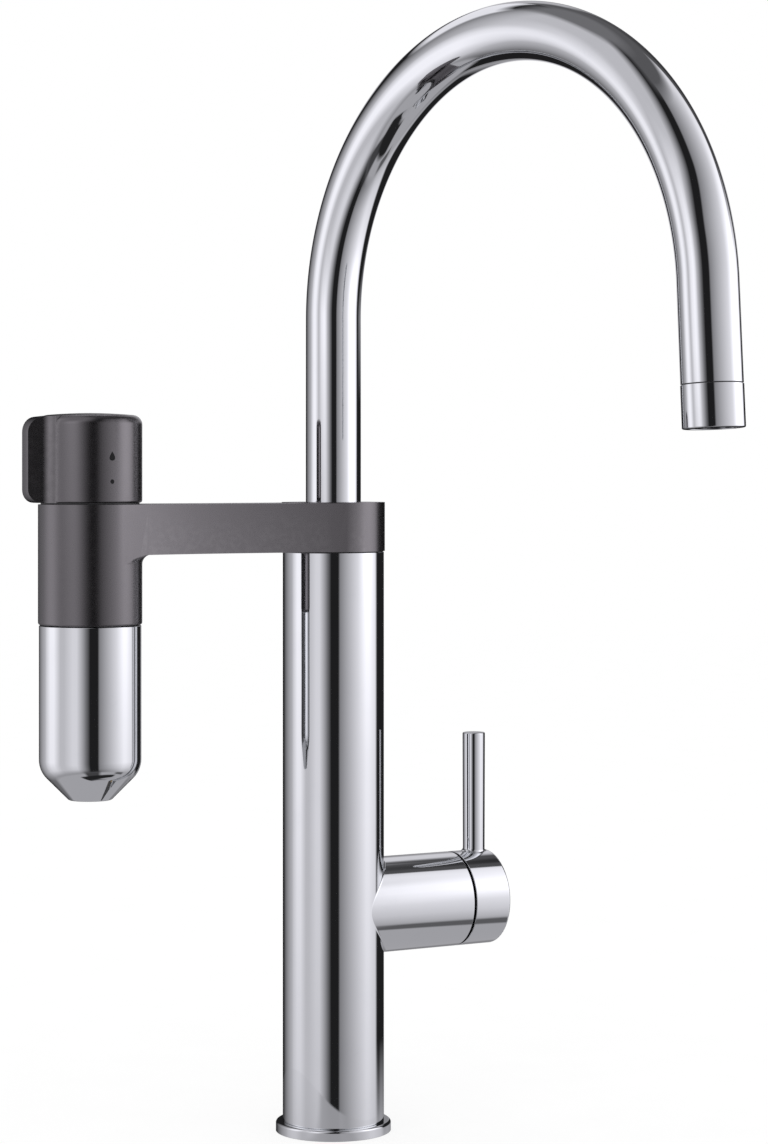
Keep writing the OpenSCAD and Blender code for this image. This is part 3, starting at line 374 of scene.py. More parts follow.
class Paint(Sheet):
    """A material in the making: its nodes, its shader and the place on the turned piece."""

    def __init__(self, material: bpy.types.Material, axis: Axis) -> None:
        """Starts the material with a Principled shader.

        Args:
            material: The new material.
            axis: Turning axis of the pieces that it is for.
        """
        super().__init__(blank_sheet(material).tree)
        place = self.node("ShaderNodeTexCoord").outputs["Object"]
        centre = tuple(-v * MM for v in axis.at)
        moved = self.node("ShaderNodeMapping", {"Vector": place, "Location": centre}).outputs[0]
        self.place = self.node("ShaderNodeMapping", {"Vector": moved, "Rotation": axis.turn}).outputs[0]
        self.shader = self.node("ShaderNodeBsdfPrincipled")
        self.node("ShaderNodeOutputMaterial", {"Surface": self.shader.outputs[0]}, is_active_output=True)

    def effect(self, effect: Effect, setting: float) -> bpy.types.bpy_prop_collection:
        """Places an effect that follows the piece, and returns its outputs."""
        return effect.place(self, {"Vector": self.place, effect.setting_name: setting})

    def coat(self, colour: Value, rough: Value, metallic: float = 0.0) -> None:
        """Sets the shader's surface.

        Args:
            colour: Its colour.
            rough: Its roughness.
            metallic: 1 for a metal.
        """
        for name, value in (("Base Color", colour), ("Roughness", rough), ("Metallic", metallic)):
            self.feed(self.shader.inputs[name], value)

    def tones(self, share: Value, a: Colour, b: Colour) -> Socket:
        """Mixes two plain colours by a share from 0 to 1."""
        return self.blend(share, (*a, 1), (*b, 1))

    def bump(self, height: Value, depth: float) -> None:
        """Joins a height to the shader's normal.

        Args:
            height: Height from 0 to 1.
            depth: What 1 stands for, in metres.
        """
        node = self.node("ShaderNodeBump", {"Strength": 1.0, "Distance": depth, "Height": height})
        self.feed(self.shader.inputs["Normal"], node.outputs[0])


class Finish:
    """A finish that makes one material for each turning axis it is used on."""

    slot: Slot
    effects: Effects
    made: dict[tuple["Finish", Axis], bpy.types.Material] = {}

    def material(self, axis: Axis = COLUMN) -> bpy.types.Material:
        """Finds or makes this finish's material.

        Args:
            axis: Turning axis of the pieces that it is for.

        Returns:
            The material.
        """
        key = (self, axis)
        if key not in Finish.made:
            name = f"{type(self).__name__}_{self.slot.value}_{len(Finish.made)}"
            Finish.made[key] = bpy.data.materials.new(name)
            self.dress(Paint(Finish.made[key], axis))
        return Finish.made[key]

    def dress(self, p: Paint) -> None:
        """Sets the material's surface; each finish has its own."""
        raise NotImplementedError


@dataclass(frozen=True)
class PolishedChrome(Finish):
    """Bright chrome plate over polished brass."""

    slot: Slot = Slot.CHROME
    colour: Colour = (0.80, 0.812, 0.83)
    marked: Colour = (0.755, 0.77, 0.79)
    rough: float = 0.035
    rough_marks: float = 0.09
    mark_scale: float = 55.0
    mark_strength: float = 0.5
    wear: float = 0.4
    wave_scale: float = 42.0
    wave_depth: float = 0.00003

    def dress(self, p: Paint) -> None:
        """Sets a mirror with faint waves, handling marks and water haze.

        Args:
            p: The material in the making.
        """
        fx = self.effects
        soiled = p.math("MAXIMUM", p.effect(fx.marks, self.mark_scale)["Mask"],
                        p.effect(fx.wear, self.wear)["Mask"])
        p.coat(p.tones(p.times(soiled, self.mark_strength), self.colour, self.marked),
               p.remap(soiled, 0, 1, self.rough, self.rough_marks, False), 1.0)
        p.bump(p.effect(fx.waves, self.wave_scale)["Height"], self.wave_depth)


@dataclass(frozen=True)
class SatinMetal(Finish):
    """Blasted metal under a dark coating, as on the filter unit."""

    slot: Slot = Slot.GUNMETAL
    dark: Colour = (0.178, 0.169, 0.176)
    light: Colour = (0.192, 0.182, 0.190)
    worn: Colour = (0.26, 0.25, 0.256)
    rough: float = 0.26
    rough_spread: float = 0.03
    rough_marks: float = 0.04
    mark_scale: float = 45.0
    wear: float = 0.35
    grain_scale: float = 3200.0
    grain_depth: float = 0.0000006

    def dress(self, p: Paint) -> None:
        """Sets a soft metal sheen with fine grain and paler edges.

        Args:
            p: The material in the making.
        """
        fx = self.effects
        grain = p.effect(fx.grain, self.grain_scale)
        marks = p.effect(fx.marks, self.mark_scale)["Mask"]
        shade = p.tones(grain["Value"], self.dark, self.light)
        rough = p.remap(grain["Value"], 0.3, 0.7, self.rough - self.rough_spread,
                        self.rough + self.rough_spread, False)
        p.coat(p.blend(p.effect(fx.wear, self.wear)["Mask"], shade, (*self.worn, 1)),
               p.plus(rough, p.times(marks, self.rough_marks)), 1.0)
        p.bump(grain["Height"], self.grain_depth)


@dataclass(frozen=True)
class TurnedMetal(Finish):
    """Metal left as the lathe cut it: brass, copper and steel."""

    slot: Slot = Slot.BRASS
    bright: Colour = (0.80, 0.58, 0.27)
    dull: Colour = (0.60, 0.40, 0.17)
    rough: float = 0.22
    rough_spread: float = 0.06
    rough_marks: float = 0.15
    mark_scale: float = 90.0
    mark_strength: float = 0.6
    wear: float = 0.6
    pitch: float = 0.00022
    depth: float = 0.000006

    def dress(self, p: Paint) -> None:
        """Sets turned rings, dull patches and bright edges.

        Args:
            p: The material in the making.
        """
        fx = self.effects
        rings = p.effect(fx.turned, self.pitch)["Value"]
        marks = p.effect(fx.marks, self.mark_scale)["Mask"]
        base = p.tones(p.times(p.plus(rings, marks), self.mark_strength), self.bright, self.dull)
        rough = p.remap(rings, 0.3, 0.7, self.rough - self.rough_spread,
                        self.rough + self.rough_spread, False)
        p.coat(p.blend(p.effect(fx.wear, self.wear)["Mask"], base, (*self.bright, 1)),
               p.plus(rough, p.times(marks, self.rough_marks)), 1.0)
        p.bump(rings, self.depth)


@dataclass(frozen=True)
class Moulded(Finish):
    """Moulded rubber or plastic."""

    slot: Slot = Slot.RUBBER
    colour: Colour = (0.018, 0.018, 0.019)
    pale: Colour = (0.034, 0.034, 0.035)
    rough: float = 0.55
    rough_dust: float = 0.12
    dust_scale: float = 70.0
    skin_scale: float = 1100.0
    skin_depth: float = 0.00002

    def dress(self, p: Paint) -> None:
        """Sets a matt pebbled skin with cloudy tone and dusty patches.

        Args:
            p: The material in the making.
        """
        fx = self.effects
        skin = p.effect(fx.skin, self.skin_scale)
        dust = p.effect(fx.marks, self.dust_scale)["Mask"]
        tone = p.math("MAXIMUM", p.remap(skin["Value"], 0.3, 0.7, 0.0, 0.7), dust)
        p.coat(p.tones(tone, self.colour, self.pale),
               p.remap(tone, 0, 1, self.rough, self.rough + self.rough_dust, False))
        p.bump(skin["Height"], self.skin_depth)


@dataclass(frozen=True)
class LappedCeramic(Finish):
    """Ceramic discs with lapped, nearly mirror-flat faces."""

    slot: Slot = Slot.CERAMIC
    colour: Colour = (0.80, 0.78, 0.73)
    speck: Colour = (0.62, 0.60, 0.56)
    rough: float = 0.12
    rough_speck: float = 0.25
    grain_scale: float = 2600.0
    depth: float = 0.000004

    def dress(self, p: Paint) -> None:
        """Sets fine specks in a smooth pale body.

        Args:
            p: The material in the making.
        """
        grain = p.effect(self.effects.grain, self.grain_scale)
        p.coat(p.tones(p.remap(grain["Value"], 0.55, 0.68, 0.0, 1.0), self.colour, self.speck),
               p.remap(grain["Value"], 0.3, 0.7, self.rough, self.rough_speck, False))
        p.bump(grain["Height"], self.depth)


@dataclass(frozen=True)
class PressedCarbon(Finish):
    """The block of pressed filter granules."""

    slot: Slot = Slot.CARBON
    colour: Colour = (0.012, 0.012, 0.013)
    glint: Colour = (0.07, 0.07, 0.075)
    rough: float = 0.85
    rough_glint: float = 0.35
    granules: float = 1400.0
    depth: float = 0.00025

    def dress(self, p: Paint) -> None:
        """Sets dark granules with small glinting faces.

        Args:
            p: The material in the making.
        """
        cells = p.node("ShaderNodeTexVoronoi", {"Vector": p.place, "Scale": self.granules})
        glint = p.remap(p.split(cells.outputs["Color"])[0], 0.8, 1.0, 0.0, 1.0)
        p.coat(p.tones(glint, self.colour, self.glint),
               p.remap(glint, 0, 1, self.rough, self.rough_glint, False))
        p.bump(cells.outputs["Distance"], self.depth)


CHROME = PolishedChrome()
# Near-black chrome for the inner faces of the hub's mouth and the lever's dish: painted shade, so that the
# gap between lever and hub reads black.
GAP_PAINTED_SHADE = PolishedChrome(colour=(0.035, 0.035, 0.037), marked=(0.05, 0.05, 0.052), rough=0.5, rough_marks=0.6)
GUNMETAL = SatinMetal()
KNOB_METAL = SatinMetal(slot=Slot.KNOB)
BRASS = TurnedMetal()
COPPER = TurnedMetal(slot=Slot.COPPER, bright=(0.86, 0.48, 0.32), dull=(0.58, 0.27, 0.16), rough=0.25)
STAINLESS = TurnedMetal(slot=Slot.STAINLESS, bright=(0.66, 0.65, 0.63), dull=(0.50, 0.49, 0.48), rough=0.26)
SCREW_STEEL = TurnedMetal(slot=Slot.SCREW, bright=(0.30, 0.30, 0.31), dull=(0.16, 0.16, 0.17), rough=0.34)
RUBBER = Moulded()
ACETAL = Moulded(slot=Slot.ACETAL, colour=(0.74, 0.74, 0.71), pale=(0.82, 0.82, 0.80), rough=0.36,
                 skin_depth=0.000006)
DARK_PLASTIC = Moulded(slot=Slot.DARK_PLASTIC, colour=(0.035, 0.035, 0.038), pale=(0.06, 0.06, 0.064),
                       rough=0.38, skin_depth=0.000008)
PRINT = Moulded(slot=Slot.KNOB, colour=(0.004, 0.004, 0.005), pale=(0.007, 0.007, 0.008), rough=0.7,
                skin_depth=0.000003)
CERAMIC = LappedCeramic()
CARBON = PressedCarbon()


# Meshes

Outline = Sequence[tuple[float, ...]]
ARC_STEP = math.radians(7.5)
TINY = 1e-6


@dataclass(frozen=True)
class Corner:
    """A corner of a half outline: how far out and along it is, its rounding, and the row spacing after it."""

    r: float
    z: float
    fillet: float = 0.0
    step: float = 0.0


@dataclass(frozen=True)
class Frame:
    """Where a shape is built: origin in millimetres, the direction of angle 0, of angle 90, and the axis."""

    origin: tuple[float, float, float] = (0.0, 0.0, 0.0)
    u: tuple[float, float, float] = (1.0, 0.0, 0.0)
    v: tuple[float, float, float] = (0.0, 1.0, 0.0)
    w: tuple[float, float, float] = (0.0, 0.0, 1.0)

    def around(self, angle: np.ndarray) -> np.ndarray:
        """Returns the unit directions at those angles round the axis."""
        angle = np.asarray(angle, float)[..., None]
        return np.cos(angle) * np.array(self.u) + np.sin(angle) * np.array(self.v)


HUB_FRAME = Frame((0.0, 0.0, HUB_Z), (0.0, 0.0, 1.0), (0.0, 1.0, 0.0), (1.0, 0.0, 0.0))
FILTER_FRAME = Frame((FILTER_X, 0.0, 0.0))


def strokes(rows: Outline) -> list[np.ndarray]:
    """Turns a closed half outline into strokes, each a straight line or a rounded corner.

    Args:
        rows: The values of its corners, counter-clockwise with the distance from the axis to the right.

    Returns:
        Arrays of rows (r, z, normal r, normal z).
    """
    corners = [Corner(*row) for row in rows]
    count = len(corners)
    point = [np.array([c.r, c.z]) for c in corners]
    heading = [(point[(i + 1) % count] - point[i]) for i in range(count)]
    heading = [h / float(np.linalg.norm(h)) for h in heading]
    starts, ends, arcs = [], [], []
    for i, corner in enumerate(corners):
        before, after = heading[i - 1], heading[i]
        turn = math.atan2(before[0] * after[1] - before[1] * after[0], float(before @ after))
        inset = corner.fillet * math.tan(abs(turn) / 2)
        ends.append(point[i] - before * inset)
        starts.append(point[i] + after * inset)
        arcs.append(None)
        if corner.fillet > 0:
            side = -1.0 if turn > 0 else 1.0
            out = np.array([before[1], -before[0]])
            centre = ends[i] + side * out * corner.fillet
            steps = max(2, math.ceil(abs(turn) / ARC_STEP))
            first = math.atan2(*(-side * out)[::-1])
            angle = first + turn * np.linspace(0, 1, steps + 1)
            ray = np.stack([np.cos(angle), np.sin(angle)], 1)
            arcs[i] = np.hstack([centre + corner.fillet * ray, -side * ray])
    found = []
    for i, corner in enumerate(corners):
        if arcs[i] is not None:
            found.append(arcs[i])
        a, b = starts[i], ends[(i + 1) % count]
        if float((b - a) @ heading[i]) > TINY:
            steps = max(1, round(float(np.linalg.norm(b - a)) / corner.step)) if corner.step else 1
            share = np.linspace(0, 1, steps + 1)[:, None]
            out = np.tile([heading[i][1], -heading[i][0]], (steps + 1, 1))
            found.append(np.hstack([a + (b - a) * share, out]))
    return [s for s in found if np.abs(s[:, 0]).max() > TINY]


def add_object(name: str, data: bpy.types.ID) -> bpy.types.Object:
    """Puts a new object into the scene.

    Args:
        name: Its name.
        data: Its mesh, camera or light.

    Returns:
        The object.
    """
    made = bpy.data.objects.new(name, data)
    bpy.context.scene.collection.objects.link(made)
    return made


class Skin:
    """A closed skin of patches, in which every corner keeps the true normal of its own patch."""

    merge = 1e-7
    off_grid = 1.2345e-9

    def __init__(self) -> None:
        """Starts with no patch."""
        self.points: list[np.ndarray] = []
        self.normals: list[np.ndarray] = []
        self.faces: list[np.ndarray] = []
        self.parts: list[int] = []
        self.part = 0
        self.count = 0

    def _add(self, points: np.ndarray, normals: np.ndarray, faces: np.ndarray) -> None:
        """Adds faces, turned so that they look the way of their normals.

        Args:
            points: Their points, in millimetres.
            normals: The normal at each point.
            faces: Rows of point numbers.
        """
        p, n = points[faces], normals[faces]
        look = np.cross(p[:, 2] - p[:, 0], p[:, -1] - p[:, 1] if faces.shape[1] == 4 else p[:, 2] - p[:, 1])
        if float((look * n.mean(1)).sum()) < 0:
            faces = faces[:, ::-1]
        self.points.append(points)
        self.normals.append(normals)
        self.faces.append(faces + self.count)
        self.parts.append(self.part)
        self.count += len(points)

    def patch(self, points: np.ndarray, normals: np.ndarray, wrap: bool = True) -> None:
        """Adds a grid.

        Args:
            points: Rows by columns by 3, in millimetres.
            normals: The normals, in the same layout.
            wrap: True if the last column joins the first.
        """
        rows, columns = points.shape[:2]
        index = np.arange(rows * columns).reshape(rows, columns)
        after = np.roll(index, -1, 1) if wrap else index[:, 1:]
        index = index if wrap else index[:, :-1]
        quads = np.stack([index[:-1], after[:-1], after[1:], index[1:]], -1).reshape(-1, 4)
        self._add(points.reshape(-1, 3), normals.reshape(-1, 3), quads)

    def plate(self, loop: np.ndarray, normal: Sequence[float]) -> None:
        """Adds a flat face.

        Args:
            loop: Its outline, as points in millimetres.
            normal: The way it looks.
        """
        faces = np.array(tessellate_polygon([[Vector(p) for p in loop]]))
        self._add(loop, np.tile(np.asarray(normal, float), (len(loop), 1)), faces)

    def lathe(self, rows: Outline, place: Frame = Frame(), columns: int = 128,
              angles: np.ndarray | None = None, closed: bool = True, inner: float = 0.0) -> None:
        """Adds a turned shape.

        Args:
            rows: The values of the corners of its half outline.
            place: Where it stands.
            columns: Faces round the axis.
            angles: The angles of its columns, if they aren't even.
            closed: False leaves out the stroke from the last corner to the first.
            inner: Strokes nearer to the axis than this get the second finish, which on the column and the
                lever is the near-black painted shade of the gap.
        """
        if angles is None:
            angles = np.linspace(0, 2 * math.pi, columns, endpoint=False)
        ray = place.around(angles)[None]
        origin, w = np.array(place.origin), np.array(place.w)
        found = strokes(rows)
        for stroke in found if closed else found[:-1]:
            r, z, nr, nz = (stroke[:, i][:, None, None] for i in range(4))
            self.part = int(float(stroke[:, 0].mean()) < inner)
            self.patch(origin + r * ray + z * w, nr * ray + nz * w)
        self.part = 0

    def object(self, name: str) -> bpy.types.Object:
        """Makes an object of the skin, with its mesh in metres.

        Args:
            name: Name of the object and its mesh.

        Returns:
            The object.
        """
        points = np.concatenate(self.points) * MM
        normals = np.concatenate(self.normals)
        normals /= np.maximum(np.linalg.norm(normals, axis=1, keepdims=True), 1e-12)
        key = np.round((points + self.off_grid) / self.merge).astype(np.int64)
        _, first, index = np.unique(key, axis=0, return_index=True, return_inverse=True)
        index = index.reshape(-1)
        polygons, corner_normals, parts = [], [], []
        for block, part in zip(self.faces, self.parts):
            for face, merged in zip(block, index[block]):
                keep = [i for i in range(len(face)) if merged[i] != merged[i - 1]]
                if len({merged[i] for i in keep}) == len(keep) > 2:
                    parts.append(part)
                    polygons.append([int(merged[i]) for i in keep])
                    corner_normals.extend(normals[face[i]] for i in keep)
        mesh = bpy.data.meshes.new(name)
        mesh.from_pydata([tuple(p) for p in points[first]], [], polygons)
        mesh.polygons.foreach_set("material_index", parts)
        mesh.shade_smooth()
        mesh.normals_split_custom_set([tuple(n) for n in corner_normals])
        return add_object(name, mesh)


@dataclass(frozen=True)
class Opening:
    """A round branch or hole in the side of a turned wall."""

    radius: float
    along: float
    column: int
    half_columns: int
    fillet: Callable[[np.ndarray], np.ndarray] = np.zeros_like


@dataclass(frozen=True)
class Band:
    """A stretch of round wall with openings in it; side is 1 for an outer wall and -1 for a bore."""

    skin: Skin
    place: Frame
    radius: float
    low: float
    high: float
    columns: int
    rows: int
    side: float = 1.0
    fillet_rows: int = 9
    crowding: float = 1.3
    widest: float = 0.999

    def wall(self, angle: np.ndarray, along: np.ndarray) -> tuple[np.ndarray, np.ndarray]:
        """Finds points on the wall.

        Args:
            angle: Their angles round the axis.
            along: Their places along it.

        Returns:
            The points and their normals.
        """
        ray, origin, w = self.place.around(angle), np.array(self.place.origin), np.array(self.place.w)
        return origin + self.radius * ray + along[..., None] * w, self.side * ray

    def pierce(self, *openings: Opening) -> list[tuple[np.ndarray, np.ndarray]]:
        """Adds the wall with its openings, and the rolled fillet of each branch.

        Args:
            *openings: The openings, in the order of their columns.

        Returns:
            For each opening, the angles of its columns round its own axis, and the reach of its edge.
        """
        step = 2 * math.pi / self.columns
        heights = np.linspace(self.low, self.high, self.rows + 1)
        rings = []
        for i, opening in enumerate(openings):
            after, half = openings[(i + 1) % len(openings)], opening.half_columns
            gap = (after.column - after.half_columns - opening.column - half) % self.columns
            angle = (opening.column + half + np.arange(gap + 1)) * step
            self.skin.patch(*self.wall(*np.meshgrid(angle, heights)), wrap=False)
            across, up = np.arange(-half, half + 1) * step, heights[1:-1]
            beside = np.full(self.rows - 1, across[-1]), np.full(self.rows - 1, across[0])
            edge_angle = np.concatenate([across, beside[0], across[::-1], beside[1]])
            edge_along = np.concatenate([np.full(len(across), self.low), up,
                                         np.full(len(across), self.high), up[::-1]]) - opening.along
            reach = opening.radius / math.asin(min(self.widest, opening.radius / self.radius)) / self.radius
            turn = np.unwrap(np.arctan2(edge_angle * self.radius * reach, edge_along))
            roll = opening.fillet(turn)
            ball = opening.radius + roll
            y, up = ball * np.sin(turn), ball * np.cos(turn)
            x = np.sqrt((self.radius + roll) ** 2 - y ** 2)
            share = np.linspace(0, 1, max(8, self.rows // 3) + 1)[:, None] ** self.crowding
            start_angle = np.arctan2(y, x)
            angles = start_angle + (edge_angle - start_angle) * share
            along = up + (edge_along - up) * share
            self.skin.patch(*self.wall(angles + opening.column * step, along + opening.along))
            if roll.max() > 0:
                self._fillet(opening, turn, roll, np.stack([x, y, up], 1))
            rings.append((turn, x))
        return rings

    def _fillet(self, opening: Opening, turn: np.ndarray, roll: np.ndarray, ball: np.ndarray) -> None:
        """Adds the fillet that a ball leaves when it rolls round a branch.

        Args:
            opening: The branch.
            turn: The ball's places, as angles round the branch.
            roll: Its radius at each.
            ball: Its centre at each: out from the main axis, aside and along.
        """
        base, u, v = self._own(opening)
        w = np.array(self.place.w)
        out, aside, up = (ball[:, i, None] for i in range(3))
        level = out * u + aside * v
        centre = base + out * u + aside * v + up * w
        foot = base + (self.radius / (self.radius + roll))[:, None] * level + up * w
        round_it = np.sin(turn)[:, None] * v + np.cos(turn)[:, None] * w
        neck = base + out * u + opening.radius * round_it
        a, b = (foot - centre) / roll[:, None], (neck - centre) / roll[:, None]
        opened = np.arccos(np.clip((a * b).sum(1), -1, 1))[None, :, None]
        s = np.linspace(0, 1, self.fillet_rows)[:, None, None]
        ray = (np.sin((1 - s) * opened) * a + np.sin(s * opened) * b) / np.sin(opened)
        self.skin.patch(centre + roll[:, None] * ray, -ray)

    def _own(self, opening: Opening) -> tuple[np.ndarray, np.ndarray, np.ndarray]:
        """Finds where an opening's axis starts and how it points.

        Args:
            opening: The opening.

        Returns:
            Its start, the way outwards and the way aside.
        """
        centre = opening.column * 2 * math.pi / self.columns
        base = np.array(self.place.origin) + opening.along * np.array(self.place.w)
        return base, self.place.around(centre), self.place.around(centre + math.pi / 2)

    def branch(self, opening: Opening, ring: tuple[np.ndarray, np.ndarray], end: float | np.ndarray,
               rows: int, side: float = 1.0) -> Frame:
        """Adds the round wall of a branch or hole, from its saddle-shaped edge to its end.

        Args:
            opening: The opening.
            ring: Its angles and the reach of its edge.
            end: How far from the main axis it ends.
            rows: Faces along it.
            side: 1 for a branch, -1 for a hole.

        Returns:
            The branch's own frame: angle 0 along the main axis, and its axis pointing outwards.
        """
        turn, x = ring
        base, u, v = self._own(opening)
        own = Frame(tuple(base), self.place.w, tuple(v), tuple(u))
        ray = own.around(turn)
        along = x + (end - x) * np.linspace(0, 1, rows + 1)[:, None]
        self.skin.patch(base + opening.radius * ray[None] + along[..., None] * u,
                        np.tile(side * ray, (rows + 1, 1, 1)))
        return own


def finish_piece(obj: bpy.types.Object, body: str, finish: Finish, axis: Axis, *nodes: str,
                 inside: Finish | None = None) -> None:
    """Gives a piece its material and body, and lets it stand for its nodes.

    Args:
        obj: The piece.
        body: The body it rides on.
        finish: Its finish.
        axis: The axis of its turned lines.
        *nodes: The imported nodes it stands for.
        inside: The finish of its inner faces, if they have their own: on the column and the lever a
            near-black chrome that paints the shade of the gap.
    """
    # Clearing an empty list would reset the faces' material numbers
    if obj.data.materials:
        obj.data.materials.clear()
    # The second material, where given, is the painted shade of the inner faces.
    for worn in (finish, inside):
        if worn:
            obj.data.materials.append(worn.material(axis))
    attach(obj, body)
    if nodes:
        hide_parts(*nodes)
    LOG.info("made %s: %d faces", obj.name, len(obj.data.polygons))


def dress_nodes(axis: Axis, **finishes: Finish) -> None:
    """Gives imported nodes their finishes.

    Args:
        axis: The axis of their turned lines.
        **finishes: Each node's finish.
    """
    for name, finish in finishes.items():
        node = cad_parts[name]
        material = finish.material(axis)
        if node.material_slots:
            for part in node.material_slots:
                part.material = material
        else:
            node.data.materials.append(material)
        LOG.info("dressed %s", name)


# Geometry Nodes

class Deform(Group):
    """A geometry tree that moves the points of one mesh, with its own named inputs."""

    def __init__(self, name: str, inputs: dict[str, object]) -> None:
        """Makes the empty tree with a geometry and a material input.

        Args:
            name: Name of the tree.
            inputs: Its other inputs.
        """
        given = {"Geometry": "NodeSocketGeometry", "Finish": "NodeSocketMaterial", **inputs}
        super().__init__(name, "GeometryNodeTree", given, ["Geometry"])
        self.point = self.sheet.split(self.sheet.node("GeometryNodeInputPosition").outputs[0])

    def close(self, position: Socket) -> None:
        """Ends the tree.

        Args:
            position: The new place of each point.
        """
        s = self.sheet
        moved = s.node("GeometryNodeSetPosition", {"Geometry": self.given["Geometry"], "Position": position})
        real = s.node("GeometryNodeRealizeInstances", {0: moved.outputs[0]}).outputs[0]
        dressed = s.node("GeometryNodeSetMaterial", {"Geometry": real, "Material": self.given["Finish"]})
        s.feed(self.result["Geometry"], dressed.outputs[0])

    def apply(self, obj: bpy.types.Object, finish: Finish, axis: Axis, **values: float) -> bpy.types.Object:
        """Runs the tree on an object and keeps the result as a plain mesh.

        Args:
            obj: The object.
            finish: Its finish.
            axis: The axis of its turned lines.
            **values: The tree's inputs.

        Returns:
            The same object.
        """
        modifier = obj.modifiers.new(self.tree.name, "NODES")
        modifier.node_group = self.tree
        sockets = {item.name: item.identifier for item in self.tree.interface.items_tree}
        modifier[sockets["Finish"]] = finish.material(axis)
        for key, value in values.items():
            modifier[sockets[key]] = value
        graph = bpy.context.evaluated_depsgraph_get()
        made = bpy.data.meshes.new_from_object(obj.evaluated_get(graph), preserve_all_data_layers=True,
                                               depsgraph=graph)
        obj.modifiers.remove(modifier)
        made.name = obj.name
        obj.data = made
        return obj


def arch_tree() -> Deform:
    """Builds the tree that bends a straight turned piece along the spout's arch.

    Returns:
        The tree.
    """
    first = {"Start": 0.3522, "Radius": 0.1127, "Sweep": 3.0849, "Direction": -1.4015}
    tree = Deform("follow_the_arch", first)
    s, (x, y, z) = tree.sheet, tree.point
    start, radius, sweep, direction = (tree.given[name] for name in first)
    angle = s.math("MINIMUM", s.over(s.math("MAXIMUM", s.minus(z, start), 0.0), radius), sweep)
    rest = s.minus(s.minus(z, start), s.times(angle, radius))
    sine, cosine = s.math("SINE", angle), s.math("COSINE", angle)
    inner = s.minus(radius, x)
    reach = s.plus(s.minus(radius, s.times(inner, cosine)), s.times(rest, sine))
    rise = s.plus(s.plus(start, s.times(inner, sine)), s.times(rest, cosine))
    tree.close(s.node("ShaderNodeVectorRotate", {"Vector": s.join(reach, y, rise), "Angle": direction},
                      rotation_type="Z_AXIS").outputs[0])
    return tree


def thread_tree() -> Deform:
    """Builds the tree that cuts a screw thread into a turned wall.

    Returns:
        The tree.
    """
    tree = Deform("screw_thread", {"Wall": 0.0165, "Depth": 0.0008, "Pitch": 0.0015, "Low": 0.0, "High": 0.01,
                                   "Centre": 0.0})
    s, given, (x, y, z) = tree.sheet, tree.given, tree.point
    pitch, on_wall = given["Pitch"], 0.00005
    x = s.minus(x, given["Centre"])
    radius = s.math("SQRT", s.plus(s.times(x, x), s.times(y, y)))
    turn = s.over(s.math("ARCTAN2", y, x), 2 * math.pi)
    phase = s.math("FRACT", s.minus(s.over(z, pitch), turn))
    slope = s.math("ABSOLUTE", s.minus(s.times(phase, 2.0), 1.0))
    cut = s.remap(slope, 0.12, 0.9, 0.0, 1.0, False)
    near = s.math("LESS_THAN", s.math("ABSOLUTE", s.minus(radius, given["Wall"])), on_wall)
    low, high = s.over(s.minus(z, given["Low"]), pitch), s.over(s.minus(given["High"], z), pitch)
    ends = s.math("MINIMUM", s.math("MAXIMUM", s.math("MINIMUM", low, high), 0.0), 1.0)
    amount = s.times(s.times(s.times(cut, near), ends), given["Depth"])
    scale = s.over(s.minus(radius, amount), radius)
    tree.close(s.join(s.plus(s.times(x, scale), given["Centre"]), s.times(y, scale), z))
    return tree


# Rounded edges

@dataclass(frozen=True)
class Round:
    """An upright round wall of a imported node: where its axis stands, its radius, and -1 if it is hollow."""

    x: float
    y: float
    radius: float
    side: float = 1.0


Blend = Callable[[np.ndarray, np.ndarray, np.ndarray], np.ndarray]


